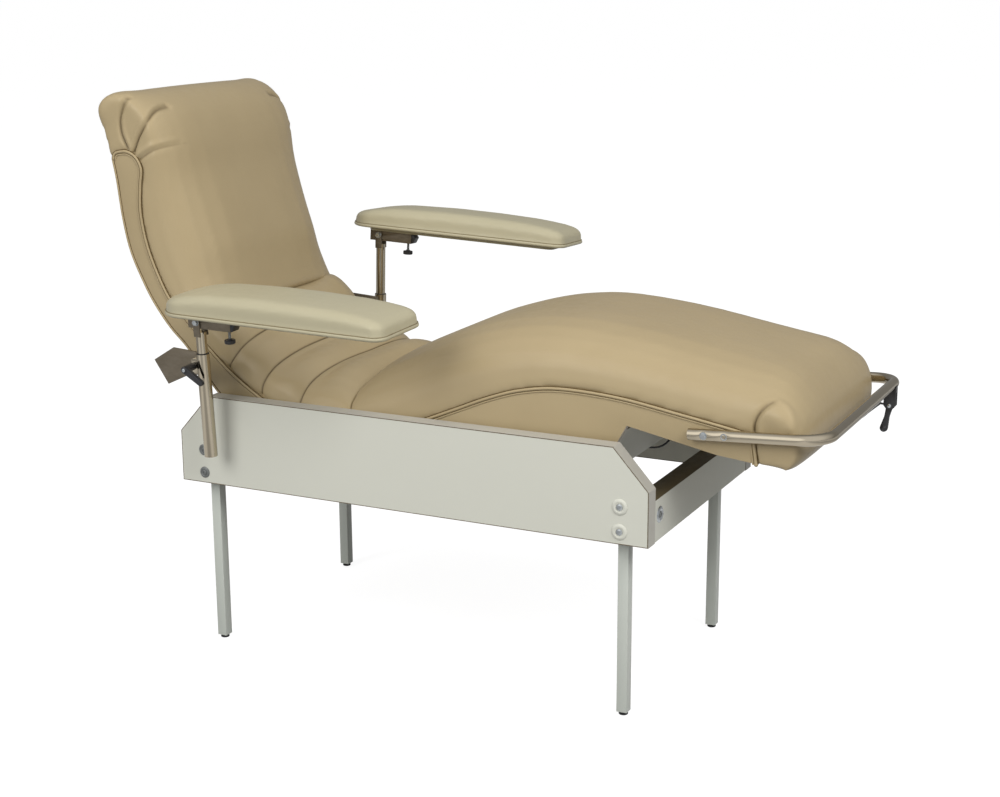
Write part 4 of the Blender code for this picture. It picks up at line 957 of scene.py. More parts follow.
@dataclass
class Lounge:
    """The upholstered lounge: three cushions, their boxing and the piping between them.

    Lines are x, z from the tilt axis, in millimetres. A cushion is tucked in along its base line, and
    its points within grip of that line stay as it swells. The seat is eased more with the distance from
    its base line, in ease_reach, less ease_start.
    """

    BACK = Stuffing("back_cushion", voxel=8, relax=6, shrink=1, cap=8,
                    puffs=(((-585, 294, 752), 34, 8), ((-548, 278, 790), 46, 6)))
    SEAT = Stuffing("seat_cushion", voxel=7, relax=7, shrink=0.5, cap=10,
                    puffs=(((-290, 262, 300), 75, 20), ((-200, 262, 245), 75, 12)), eased=True)
    LEGS = Stuffing("leg_cushion", voxel=9, relax=6, shrink=0.5, cap=7, puffs=(((1150, 292, 165), 30, 5),))
    TOP_WELT = Piping("welt", 0.3, 3.7, 4.4, Finishes.VINYL)
    # Beads in the SEAM finish, here and in the rear rows, are dark beads of painted shadow in the seams'
    # valleys
    TOP_PIPING = (Piping("seam", 0.4, 1.2, 0.2, Finishes.SEAM), TOP_WELT,
                  Piping("inner_seam", 0.6, 0.9, 8.5, Finishes.SEAM),
                  Piping("inner_welt", 0.0, 2.3, 11.0, Finishes.VINYL))
    REAR_PIPING = (Piping("rear_welt", -0.6, 3.0, -1.4, Finishes.VINYL),
                   Piping("rear_seam", 0.2, 0.8, -5.0, Finishes.SEAM))

    half: float = 300.0
    tuck: float = 6.0
    tuck_width: float = 9.0
    grip: float = 12.0
    seam_reach: float = 22.0
    ease_reach: float = 30.0
    ease_start: float = 0.6
    fill: float = 0.8
    rounding: float = 3.0
    rim_angle: float = 60.0
    pivot_clear: float = 30.0
    knot: Line = ((0, -4), (3.6, -2.6), (4.9, 0), (3.6, 2.6), (0, 4))
    knot_proud: float = 0.8
    back_base: Line = ((-556, 635), (-554, 645), (-546, 654), (-530, 658), (-510, 659), (-489, 651),
                       (-474, 636), (-465, 611), (-470, 575), (-474, 510), (-461, 435), (-437, 370),
                       (-403, 305), (-364, 265), (-330, 230))
    seat_base: Line = ((-330, 230), (-291, 189), (-243, 145), (-200, 113), (-144, 78), (-95, 55),
                       (-38, 36), (30, 22), (95, 20))
    leg_base: Line = ((95, 20), (150, 27), (240, 50), (314, 80), (387, 111), (470, 146), (552, 172),
                      (647, 185), (787, 179), (938, 156), (1040, 139), (1090, 129), (1099, 125),
                      (1101, 107), (1104, 85), (1106, 71), (1107, 63))
    rear_line: Line = ((-556, 635), (-546, 582), (-534, 489), (-515, 408), (-480, 332), (-449, 280),
                       (-406, 226), (-357, 179), (-287, 92), (-240, 45), (-190, -2))
    channels: tuple[tuple[Point, ...], ...] = (
        ((-247, -300, 132), (-232, -299, 155), (-222, -294, 171), (-212, -275, 190), (-203, -240, 206),
         (-199, -209, 214), (-197, -173, 220), (-196, -90, 223), (-196, 0, 223)),
        ((-149, -300, 82), (-145, -297, 106), (-138, -291, 124), (-129, -275, 144), (-120, -246, 160),
         (-114, -199, 171), (-111, -135, 176), (-111, -75, 178), (-111, 0, 179)),
        ((-44, -299, 62), (-40, -293, 82), (-34, -274, 108), (-29, -251, 124), (-23, -209, 136),
         (-18, -149, 140), (-17, -62, 141), (-16, 0, 140)))

    def seat_folds(self) -> list[Fold]:
        """Return the seat's sewn channels, from side to side: a thin seam in a broad soft bed."""
        folds = []
        for near in self.channels:
            points = near + tuple((x, -y, z) for x, y, z in reversed(near[:-1]))
            folds.append(Fold(points, depth=4.0, width=3.2, bed=4.0, bed_width=20.0, dark=0.9))
        return folds

    def head_folds(self) -> list[Fold]:
        """Return the gathers that fan out over the head roll from the boxing's arc."""
        near = [
            Fold(((-508, -300, 659), (-517, -300, 678), (-525, -300, 698), (-527, -300, 727),
                  (-519, -300, 753), (-506, -290, 782)),
                 depth=9, width=3.2, lip=2.0, reach=11, side=1, end=0.6, flare=2.0),
            Fold(((-491, -300, 651), (-475, -300, 688), (-446, -295, 730), (-445, -262, 753),
                  (-442, -225, 759)),
                 depth=9, width=3.2, lip=2.0, reach=11, side=-1, end=0.6, flare=2.2),
            Fold(((-473, -300, 637), (-435, -298, 659), (-409, -270, 668), (-398, -239, 671)),
                 depth=3, width=4, lip=4.0, reach=13, side=-1, end=0.15, dark=0.5),
        ]
        return near + [fold.mirrored() for fold in near]

    def foot_folds(self) -> list[Fold]:
        """Return the darts at the corners of the foot roll, with the lobe that each one gathers."""
        near = [
            Fold(((1095, -300, 132), (1096, -300, 153), (1105, -297, 175), (1117, -289, 190),
                  (1129, -283, 197)),
                 depth=9, width=4.0, lip=2, reach=12, side=1, end=0.5, flare=1.0),
            Fold(((1131, -281, 196), (1150, -280, 190), (1165, -284, 172), (1172, -290, 150)),
                 depth=0, width=5, bed=-3.0, bed_width=12.0, dark=0),
            Fold(((1110, -300, 118), (1128, -300, 124)),
                 depth=3, width=4, lip=1, reach=8, start=0.8, end=0.2, dark=0.5),
        ]
        return near + [fold.mirrored() for fold in near]

    def build_cushions(self) -> None:
        """Swell the three cushions and sew them."""
        for plan, base, folds in ((self.BACK, self.back_base, self.head_folds()),
                                  (self.SEAT, self.seat_base, self.seat_folds()),
                                  (self.LEGS, self.leg_base, self.foot_folds())):
            cushion = PaddedPiece(plan.node, plan.voxel * MM, plan.relax)
            line = np.array([at((x, 0, z)) for x, z in base])
            places = cushion.read("co")
            gap, _, _, way = nearest_on_line(places * (1, 0, 1), line)
            tuck = np.exp(-(gap / (self.tuck_width * MM)) ** 2) * self.tuck * MM
            cushion.write(places + np.cross(way, (0, -1, 0)) * tuck[:, None])
            if plan.eased:
                weight = np.clip(gap / (self.ease_reach * MM) - self.ease_start, 0, 1)
                cushion.ease(folds, self.seam_reach * MM, weight)
            cushion.swell(gap < self.grip * MM, plan.shrink * MM, plan.cap * MM)
            cushion.subdivide()
            cushion.refine(folds, self.seam_reach * MM)
            for side in Side:
                for (x, y, z), radius, height in plan.puffs:
                    cushion.puff((x, side.value * y, z), radius, height)
            cushion.sew(folds)
            cushion.finish(Finishes.VINYL, "lounge", "vinyl", fill=self.fill)

    def build_boxing(self) -> None:
        """Cover the side boards with rounded vinyl, all but the edges round the pivot's hole."""
        for side in Side:
            node = side.word + "_side_board"
            mesh = from_node(node)
            rims = []
            for edge in sharp_edges(mesh, self.rim_angle):
                first, second = (point.co for point in edge.verts)
                level = abs(first.y - second.y) < 0.1 * MM
                if level and (first - TILT_AXIS).xz.length > self.pivot_clear * MM:
                    rims.append(edge)
            round_edges(mesh, rims, self.rounding * MM)
            bmesh.ops.triangulate(mesh, faces=mesh.faces)
            add_piece(mesh, side.word + "_boxing", Finishes.VINYL, "lounge", (node,), sharp=50)

    def run(self, line: Line, y: float, inset: float) -> list[Vector]:
        """Return a smooth line beside one of the lounge's lines.

        Args:
            line: the line, x and z.
            y: its place across the bed.
            inset: how far it lies to the line's right.

        Returns:
            The points in the frame's axes.
        """
        points = smooth_line(line, 5)
        shifted = []
        for index, point in enumerate(points):
            way = points[min(index + 1, len(points) - 1)] - points[max(index - 1, 0)]
            off = Vector((way.y, -way.x)).normalized() * inset
            shifted.append(at((point.x + off.x, y, point.y + off.y)))
        return shifted

    def build_piping(self) -> None:
        """Run double piping along the top seam and single piping down the rear edge."""
        top = self.back_base + self.seat_base[1:] + self.leg_base[1:]
        for side in Side:
            for line, rows in ((top, self.TOP_PIPING), (self.rear_line, self.REAR_PIPING)):
                for row in rows:
                    points = self.run(line, side.value * (self.half + row.proud), row.inset)
                    add_piece(bead(points, row.radius * MM), f"{side.word}_{row.name}", row.finish, "lounge",
                              sharp=80)
            end = self.run(top, side.value * (self.half + self.knot_proud), self.TOP_WELT.inset)[-1]
            add_piece(lathe(self.knot, facing(end, side.out), 16), side.word + "_welt_end", Finishes.VINYL,
                      "lounge", sharp=80)

    def build(self) -> None:
        """Build the whole lounge."""
        self.build_cushions()
        self.build_boxing()
        self.build_piping()


@dataclass
class Bolt:
    """A bolt head in a cup washer, sizes in millimetres."""

    # The head's profile, in shares of its radius and of the cup's height
    DOME = ((0.92, 0.3), (1.0, 0.55), (0.93, 0.95), (0.7, 1.2), (0.42, 1.28), (0.40, 0.8), (0, 0.75))

    radius: float
    cup_finish: Finish
    head_finish: Finish
    cup: float = 3.5
    head: float = 7.5

    def build(self, name: str, place: Matrix, body: str) -> None:
        """Make the washer and the bolt's head.

        Args:
            name: the piece's name.
            place: a matrix whose Z points out of the surface.
            body: the body that it moves with.
        """
        rim, cup, head = self.radius, self.cup, self.head
        washer = ((rim, -0.2), (rim, 0.7), (rim * 0.96, 1.3), (rim * 0.72, cup), (rim * 0.62, cup * 0.9),
                  (head * 0.95, cup * 0.35), (head * 0.3, cup * 0.3))
        add_piece(lathe(washer, place, 40), name + "_cup", self.cup_finish, body, sharp=60)
        dome = [(head * wide, cup * high) for wide, high in self.DOME]
        add_piece(lathe(dome, place, 24), name + "_head", self.head_finish, body, sharp=50)


@dataclass
class PanelFrame:
    """The frame of edge-banded panels on four tube legs, sizes in millimetres."""

    # Each end's bolts: their distance from the panel's head end, their heights and their kind
    LEG_BOLTS = (("foot", 1164, (509, 452), Bolt(18.5, Finishes.LAMINATE, Finishes.ZINC, 3.0, 8.0)),
                 ("head", 65, (507, 450), Bolt(14.0, Finishes.WASHER, Finishes.WASHER)))
    CROSS_BOLT = Bolt(19.0, Finishes.ZINC, Finishes.WASHER)

    chamfer_run: float = 84.0
    chamfer_drop: float = 93.0
    chamfer_lean: float = 0.45
    band: float = 1.0
    band_setback: float = 1.2
    band_sink: float = 0.05
    line: float = 1.6
    line_grow: float = 0.3
    line_skin: float = 0.25
    top_gap: float = 0.1
    top_thick: float = 0.8
    top_rounding: float = 0.3
    cross_bolt_out: float = 283.0
    cross_bolt_height: float = 482.0

    def outline(self, node: str, grow: float) -> list[Vector]:
        """Return a side panel's outline, grown outwards, on the plane y = 0."""
        low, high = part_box(node)
        grow *= MM
        run, drop = self.chamfer_run * MM, self.chamfer_drop * MM
        lean = grow * self.chamfer_lean
        return [Vector(point) for point in (
            (low.x - grow, 0, low.z - grow), (high.x + grow, 0, low.z - grow),
            (high.x + grow, 0, high.z - drop + lean), (high.x - run + lean, 0, high.z + grow),
            (low.x + run - lean, 0, high.z + grow), (low.x - grow, 0, high.z - drop + lean))]

    def ring(self, outline: list[Vector], width: float, low: float, high: float) -> BMesh:
        """Return a closed band of a width inside an outline, from y = low to y = high."""
        mesh = bmesh.new()
        face = mesh.faces.new([mesh.verts.new((point.x, low, point.z)) for point in outline])
        face.normal_update()
        bmesh.ops.inset_region(mesh, faces=[face], thickness=width * MM, use_even_offset=True,
                               use_boundary=True)
        bmesh.ops.delete(mesh, geom=[face], context="FACES")
        grown = bmesh.ops.extrude_face_region(mesh, geom=mesh.faces[:])["geom"]
        move_points(mesh, grown, (0, high - low, 0))
        bmesh.ops.recalc_face_normals(mesh, faces=mesh.faces)
        return mesh

    def build_bands(self) -> None:
        """Put an edge band and its brown glue lines round each side panel, and band the cross panels."""
        skin, setback = self.line_skin * MM, self.band_setback * MM
        for side in Side:
            node = side.word + "_side_panel"
            low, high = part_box(node)
            ring = self.ring(self.outline(node, self.band), self.band - self.band_sink, low.y + setback,
                             high.y - setback)
            add_piece(ring, node + "_edge_band", Finishes.BAND, "frame")
            for name, face in (("outer", low.y), ("inner", high.y)):
                line = self.ring(self.outline(node, self.line_grow), self.line, face - skin, face + skin)
                add_piece(line, f"{node}_{name}_core_line", Finishes.CORE_LINE, "frame")
        for node in ("head_cross_panel", "foot_cross_panel"):
            low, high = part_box(node)
            height = high.z + self.top_gap * MM
            corners = [(low.x, low.y), (high.x, low.y), (high.x, high.y), (low.x, high.y)]
            top = slab([Vector((x, y, height)) for x, y in corners], Vector((0, 0, self.top_thick * MM)),
                       self.top_rounding * MM)
            add_piece(top, node + "_top_band", Finishes.DARK_BAND, "frame")

    def build_bolts(self) -> None:
        """Bolt the legs and the cross panels to the side panels."""
        for side in Side:
            low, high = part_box(side.word + "_side_panel")
            face = low.y if side is Side.RIGHT else high.y
            for end, x, heights, bolt in self.LEG_BOLTS:
                for row, height in enumerate(heights):
                    place = facing(Vector((low.x + x * MM, face, height * MM)), side.out)
                    bolt.build(f"{end}_{side.word}_bolt_{row}", place, "frame")
        for node, outward in (("foot_cross_panel", 1), ("head_cross_panel", -1)):
            low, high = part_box(node)
            face = high.x if outward > 0 else low.x
            for side in Side:
                spot = Vector((face, side.value * self.cross_bolt_out * MM, self.cross_bolt_height * MM))
                place = facing(spot, Vector((outward, 0, 0)))
                self.CROSS_BOLT.build(f"{node}_{side.word}_bolt", place, "frame")

    def build(self) -> None:
        """Build the panels' trim and bolts."""
        self.build_bands()
        self.build_bolts()


@dataclass
class FootHandle:
    """The bent tube round the foot end, in millimetres from the tilt axis."""

    radius: float = 12.7
    wall: float = 1.8
    start: tuple[float, float] = (955.0, 116.0)
    end: tuple[float, float] = (1254.0, 133.0)
    corner: float = 60.0
    half: float = 313.0
    rings: int = 60
    hex_at: float = 36.0
    socket_at: float = 82.0
    dent: float = 2.6
    dent_reach: float = 10.0
    washer: Line = ((8.6, -2), (8.6, 0.9), (8.2, 1.3), (0, 1.3))
    bolt: Line = ((6.6, 1.0), (6.6, 4.6), (5.9, 5.3), (0, 5.6))
    eyelet: Line = ((7.6, -2.5), (7.6, 0.6), (7.0, 1.3), (5.6, 1.4), (4.8, 0.7), (4.5, -1.6))
    socket: Line = ((4.7, -2.4), (4.7, -0.6), (0, -0.9))

    @property
    def along(self) -> Vector:
        """The run from the tube's end to the outside of its bend, in metres."""
        return Vector((self.end[0] - self.start[0], 0, self.end[1] - self.start[1])) * MM

    def end_of(self, side: Side) -> Vector:
        """Return the middle of the tube's end on one side."""
        return at((self.start[0], side.value * self.half, self.start[1]))

    def seat(self, side: Side, along: float) -> Matrix:
        """Return the place of a fastener on the tube's outer side, sunk in its dent."""
        centre = self.end_of(side) + self.along.normalized() * along * MM
        return facing(centre + side.out * (self.radius - self.dent) * MM, side.out)

    def build_tube(self) -> None:
        """Draw the tube, bend it twice and dent it under its fasteners."""
        ahead, turn = self.along.normalized(), self.corner * MM
        straight = self.along - ahead * turn
        begin, across = self.end_of(Side.RIGHT), 2 * self.half * MM
        axis = ahead.cross(Vector((0, 1, 0)))
        mesh = bmesh.new()
        ring = tube_ring(mesh, self.radius * MM, facing(begin, ahead))
        ring = pull(mesh, ring, straight, self.rings)
        ring = bend(mesh, ring, begin + straight + Vector((0, turn, 0)), axis)
        ring = pull(mesh, ring, Vector((0, across - 2 * turn, 0)))
        ring = bend(mesh, ring, begin + straight + Vector((0, across - turn, 0)), axis)
        pull(mesh, ring, -straight, self.rings)
        bmesh.ops.remove_doubles(mesh, verts=mesh.verts, dist=WELD)
        for side in Side:
            for along in (self.hex_at, self.socket_at):
                seat = self.seat(side, along).translation
                for point in mesh.verts:
                    gap = (point.co - seat).length / (self.dent_reach * MM)
                    point.co.y -= side.value * self.dent * MM * np.exp(-gap * gap)
        thicken(mesh, self.wall * MM)
        add_piece(mesh, "foot_handle_tube", Finishes.NICKEL, "lounge", ("foot_handle",))

    def build_fasteners(self) -> None:
        """Put a hex bolt and a socket screw through each end of the tube."""
        fasteners = (("washer", self.hex_at, self.washer, 32, Finishes.ZINC, 38.0),
                     ("bolt", self.hex_at, self.bolt, 6, Finishes.ZINC, 25.0),
                     ("eyelet", self.socket_at, self.eyelet, 32, Finishes.ZINC, 38.0),
                     ("socket", self.socket_at, self.socket, 24, Finishes.NYLON, 38.0))
        for side in Side:
            for name, along, profile, steps, finish, sharp in fasteners:
                add_piece(lathe(profile, self.seat(side, along), steps), f"{side.word}_handle_{name}", finish,
                          "lounge", sharp=sharp)

    def build(self) -> None:
        """Build the handle and its fasteners."""
        self.build_tube()
        self.build_fasteners()


@dataclass
class ReleaseGear:
    """The release lever's ball and pin, and the cable from it to the gas spring.

    The route is in millimetres from the tilt axis. The clips are at points of the route: each one goes
    round the cable and has its foot on the panel above.
    """

    diameter: float = 5.0
    ball: float = 9.5
    tip: Point = (902.6, 235.0, 594.3)
    route: tuple[Point, ...] = (
        (1239.7, 227.65, 89), (1235.7, 227.65, 89), (1230.7, 227.65, 87.75), (1208.8, 221.34, 68.6),
        (1186, 214.78, 48.8), (1153.6, 205.45, 41), (1095, 188.58, 51), (1013, 164.97, 61),
        (939, 143.67, 75), (829.71, 112.2, 89.35), (806.47, 105.51, 59.63), (767.46, 94.28, -10.4),
        (736, 85.22, -40), (681.4, 69.5, -40), (567.8, 36.79, -40), (440, 0, -40),
        (306.3, -8.85, -53), (266.3, -8.85, -53))
    clips: tuple[int, ...] = (6, 7, 8)
    clip_half: float = 4.2
    clip_foot: float = 10.0
    clip_drop: float = 3.2
    clip_sole: float = 1.5
    clip_sink: float = 0.4
    clip_width: float = 8.0
    clip_rounding: float = 0.6
    pin_half: float = 9.2
    pin_head: Line = ((4.6, -0.4), (4.6, 1.2), (3.4, 2.2), (0, 2.5))

    def build_cable(self) -> None:
        """Lay the cable on its route as one cord."""
        points = smooth_line([at(point) for point in self.route], 4)
        cable = cord_curve("release_cable_jacket", points, self.diameter / 2 * MM)
        settle(cable, Finishes.JACKET, body_of("release_cable"), ("release_cable",))

    def build_clips(self) -> None:
        """Clip the cable to the panel above it."""
        panel = surface(frame["nodes"]["leg_under_panel"].data)
        half, wing, drop = self.clip_half, self.clip_foot, self.clip_drop
        for index in self.clips:
            centre = at(self.route[index])
            foot = panel.find_nearest(centre)[0]
            way = Vector(self.route[index + 1]) - Vector(self.route[index - 1])
            rise = (foot - centre).length / MM
            sole, top = rise - self.clip_sole, rise + self.clip_sink
            outline = ((-half, -drop), (half, -drop), (half, sole), (wing, sole), (wing, top), (-wing, top),
                       (-wing, sole), (-half, sole))
            clip = plate(axes(centre, way, foot - centre), outline, -self.clip_width / 2, self.clip_width,
                         self.clip_rounding)
            add_piece(clip, f"release_cable_clip_{index}", Finishes.NYLON, body_of("release_cable"))

    def build_lever(self) -> None:
        """Put a ball on the lever's tip and heads on its pin."""
        arc = [(self.ball * sin(step * pi / 12), -self.ball * cos(step * pi / 12)) for step in range(13)]
        ball = lathe(arc, Matrix.Translation(Vector(self.tip) * MM), 24)
        add_piece(ball, "release_lever_ball", Finishes.NYLON, "release_lever", sharp=80)
        pin = Vector(JOINTS["release_lever_pull"]["pos_m"])
        for name, side in (("near", Side.RIGHT), ("far", Side.LEFT)):
            head = lathe(self.pin_head, facing(pin + side.out * self.pin_half * MM, side.out), 20)
            add_piece(head, f"release_pin_{name}_head", Finishes.ZINC, "lounge")

    def build(self) -> None:
        """Build the cable, its clips and the lever's end."""
        self.build_cable()
        self.build_clips()
        self.build_lever()


@dataclass
class ArmRest:
    """One arm: its pad on a rail, post, sleeve and clamps, sizes in millimetres.

    crown is the pad's height along it, and cuts are where its form is divided to follow that. The fork,
    the ears and the rail's cap are outlines, x and z, of plates; other lines are turned profiles.
    """

    side: Side
    width: float = 174.0
    ahead: float = 566.0
    behind: float = 62.0
    front_radius: float = 30.0
    rear_radius: float = 66.0
    floor: float = 27.6
    skirt: float = 9.0
    shoulder: float = 26.0
    crown: Line = ((-62, 34), (-48, 39), (20, 51), (74, 56), (205, 60), (332, 59), (441, 55), (520, 48),
                   (566, 39))
    cuts: range = range(-50, 560, 30)
    voxel: float = 5.0
    relax: int = 7
    shrink: float = 2.0
    cap: float = 4.0
    fill: float = 0.85
    seam_proud: float = 0.3
    seam_rise: float = 0.6
    seam_radius: float = 1.0
    roll_proud: float = -2.4
    roll_rise: float = 4.6
    roll_radius: float = 5.2
    tube: float = 15.875
    tube_wall: float = 1.6
    tube_foot: float = 13.0
    tube_length: float = 255.0
    slit: float = 1.5
    slit_foot: float = 150.0
    ear: Line = ((-14, 218), (-25, 218), (-29, 220), (-31, 225), (-31, 249), (-29, 254), (-25, 256),
                 (-14, 256))
    ear_thick: float = 5.0
    post: float = 12.7
    post_wall: float = 2.0
    post_foot: float = -328.0
    post_top: float = -25.6
    fork: Line = ((-5, 13), (-9.5, 9), (-9.5, -36), (9.5, -36), (9.5, 9), (5, 13))
    fork_half: float = 15.85
    fork_thick: float = 3.0
    bolt_washer: Line = ((8.5, 0), (8.5, 1.1), (8.1, 1.4), (0, 1.4))
    bolt_head: Line = ((7.4, 1.4), (7.4, 5.6), (6.6, 6.3), (0, 6.6))
    rail_cap: Line = ((98.3, 15), (98.3, -15), (104, -13), (111.3, 2), (104, 12))
    rail_cap_width: float = 25.0
    screw_at: float = 85.0
    screw_turns: int = 30
    screw_pitch: float = 1.5
    screw_start: float = -36.6
    screw_ends: tuple[float, float] = (-37.0, 8.0)
    screw_crest: float = 3.5
    screw_root: float = 2.9
    knob: Line = ((0, -46), (11, -46), (13, -44.6), (13, -37.4), (11.4, -36), (6, -36), (5.4, -33.5),
                  (3, -33))
    hub: Line = ((5.5, 6.8), (8.2, 7.4), (9, 10), (9, 44), (8.2, 47.6), (6.4, 48.8), (0, 48.8))
    lever_down: float = 34.0
    lever_reach: float = 51.4
    lever_ends: tuple[float, float] = (6.6, 8.6)
    lever_low: float = 36.8
    lever_thick: float = 10.6
    lever_rounding: float = 3.2
    clamp_tip: Line = ((4.4, 48.2), (4.4, 49.4), (3.6, 50.0), (1.6, 50.0), (1.4, 49.0), (0, 49.0))
    clamp_nut: Line = ((6.3, -6.8), (6.3, -11.0), (5.6, -11.7), (0, -11.7))

    def axis_of(self, name: str) -> Vector:
        """Return the axis of one of the arm's joints."""
        return Vector(JOINTS[f"{self.side.word}_{name}"]["axis"])

    def joint(self, name: str) -> tuple[Vector, Vector]:
        """Return the place and the axis of one of the arm's turning joints."""
        return Vector(JOINTS[f"{self.side.word}_{name}"]["pos_m"]), self.axis_of(name)

    @property
    def own(self) -> Matrix:
        """The tilting arm's own axes: X along the pad, Z up through it."""
        place, across = self.joint("arm_tilt")
        return axes(place, -across, self.axis_of("screw_travel"))

    @property
    def post_axes(self) -> Matrix:
        """The post's axes at the fork's bolt."""
        place, across = self.joint("arm_tilt")
        return axes(place, -across, self.axis_of("arm_height"))

    @property
    def sleeve_axes(self) -> Matrix:
        """The sleeve's axes at its foot, with X towards the bed's foot end."""
        place, upward = self.joint("arm_swing")
        return axes(place, upward.cross(Vector((1, 0, 0))), upward)

    @property
    def clamp_axes(self) -> Matrix:
        """The clamp's axes, with Z away from the bed and X towards its foot end."""
        place, axis = self.joint("clamp_turn")
        outward = axis * -self.side.value
        return axes(place, outward.cross(Vector((1, 0, 0))), outward)

    def add(self, mesh: BMesh, name: str, finish: Finish, slot: str, node: str, stands: bool = True,
            sharp: float = 38.0) -> None:
        """Add one of the arm's pieces.

        Args:
            mesh: the piece in the frame's axes; it is freed.
            name: its name after the side's word.
            finish: its finish.
            slot: the record's material slot; not used.
            node: the CAD node that it moves with, after the side's word.
            stands: whether it replaces that node.
            sharp: edges over this angle, in degrees, stay sharp.
        """
        whole = f"{self.side.word}_{node}"
        add_piece(mesh, f"{self.side.word}_{name}", finish, body_of(whole), (whole,) if stands else (),
                  sharp)

    def outline(self, grow: float, height: float, steps: int = 10) -> list[Vector]:
        """Return the pad's outline, grown outwards, at a height in the arm's own axes."""
        half = self.width / 2 + grow
        front, rear = self.ahead + grow, -self.behind - grow
        near, far = self.front_radius + grow, self.rear_radius + grow
        corners = ((front - near, half - near, near, 0), (rear + far, half - far, far, 0.5 * pi),
                   (rear + far, far - half, far, pi), (front - near, near - half, near, 1.5 * pi))
        points = []
        for x, y, radius, start in corners:
            for step in range(steps + 1):
                turn = start + pi / 2 * step / steps
                place = Vector((x + radius * cos(turn), y + radius * sin(turn), height))
                points.append(self.own @ (place * MM))
        return points

    def pad_form(self) -> BMesh:
        """Return the pad's form: a flat top with rounded shoulders, thinner at both ends."""
        own, back = self.own, self.own.inverted()
        turned = own.to_3x3()
        stations, heights = zip(*self.crown)
        top = max(heights)
        mesh = slab(self.outline(0.0, self.floor), turned @ Vector((0, 0, top * MM)))
        rim = [edge for edge in mesh.edges
               if all((back @ point.co).z > (self.floor + top - 1) * MM for point in edge.verts)]
        round_edges(mesh, rim, self.shoulder * MM, 6)
        for x in self.cuts:
            cut(mesh, own @ Vector((x * MM, 0, 0)), turned @ Vector((1, 0, 0)))
        for point in mesh.verts:
            place = back @ point.co / MM
            rise = (place.z - self.floor) / top
            place.z = self.floor + rise * float(np.interp(place.x, stations, heights))
            point.co = own @ (place * MM)
        bmesh.ops.triangulate(mesh, faces=mesh.faces)
        return mesh

    def build_pad(self) -> None:
        """Swell the pad and put a seam bead, dark with painted shadow, and a lower roll round it."""
        word = self.side.word
        body = word + "_arm"
        pad = PaddedPiece(word + "_arm_pad", self.voxel * MM, self.relax, self.pad_form())
        inverse = np.array(self.own.inverted())
        height = pad.read("co") @ inverse[2, :3] + inverse[2, 3]
        pad.swell(height < (self.floor + self.skirt + 1) * MM, self.shrink * MM, self.cap * MM)
        pad.subdivide()
        pad.sew(())
        pad.finish(Finishes.ARM_VINYL, body, "arm_vinyl", fill=self.fill)
        line = self.outline(self.seam_proud, self.floor + self.skirt + self.seam_rise)
        add_piece(bead(line, self.seam_radius * MM, closed=True), word + "_arm_pad_seam", Finishes.ARM_SEAM,
                  body, sharp=80)
        line = self.outline(self.roll_proud, self.floor + self.roll_rise)
        add_piece(bead(line, self.roll_radius * MM, closed=True), word + "_arm_pad_lower_roll",
                  Finishes.ARM_VINYL, body, sharp=80)

    def build_sleeve(self) -> None:
        """Make the slit sleeve that the post slides in, with its two clamp ears."""
        place, mesh = self.sleeve_axes, bmesh.new()
        ring = tube_ring(mesh, self.tube * MM, Matrix.Translation((0, 0, self.tube_foot * MM)))
        pull(mesh, ring, Vector((0, 0, self.tube_length * MM)))
        for y in (self.slit, -self.slit):
            cut(mesh, Vector((0, y * MM, 0)), Vector((0, 1, 0)))
        cut(mesh, Vector((0, 0, self.slit_foot * MM)), Vector((0, 0, 1)))
        slit = []
        for face in mesh.faces:
            middle = face.calc_center_median() / MM
            if middle.x < 0 and abs(middle.y) < self.slit and middle.z > self.slit_foot:
                slit.append(face)
        bmesh.ops.delete(mesh, geom=slit, context="FACES")
        thicken(mesh, self.tube_wall * MM)
        bmesh.ops.transform(mesh, matrix=place, verts=mesh.verts)
        ears = [plate(place, self.ear, low, self.ear_thick, bevel=0.8)
                for low in (self.slit, -self.slit - self.ear_thick)]
        self.add(merged([mesh] + ears), "arm_tube_sleeve", Finishes.NICKEL, "chrome", "arm_sleeve")

    def build_post(self) -> None:
        """Make the post with its fork, and the bolt that the rail tilts on."""
        place = self.post_axes
        inner, foot, top = self.post - self.post_wall, self.post_foot, self.post_top
        tube = lathe(((self.post, foot), (self.post, top), (inner, top), (inner, foot), (self.post, foot)),
                     place, 40)
        plug = lathe(rod(inner + 0.5, top - 3, top - 0.4), place, 40)
        self.add(merged([tube, plug]), "arm_post_tube", Finishes.NICKEL, "chrome", "arm_post")
        straps = [plate(place, self.fork, low, self.fork_thick, bevel=0.7)
                  for low in (self.fork_half - self.fork_thick, -self.fork_half)]
        self.add(merged(straps), "arm_fork_straps", Finishes.BRONZED, "chrome", "arm_post", stands=False)
        turned, heads = place.to_3x3(), []
        for side in Side:
            out = turned @ side.out
            seat = facing(place.translation + out * self.fork_half * MM, out)
            heads.append(lathe(self.bolt_washer, seat, 28))
            heads.append(lathe(self.bolt_head, seat, 6))
        across = facing(place.translation, turned @ Vector((0, 1, 0)))
        heads.append(lathe(rod(radius=4, low=-16, high=16), across, 20))
        self.add(merged(heads), "arm_hex_bolt", Finishes.ZINC, "zinc", "arm_bolt", sharp=25)

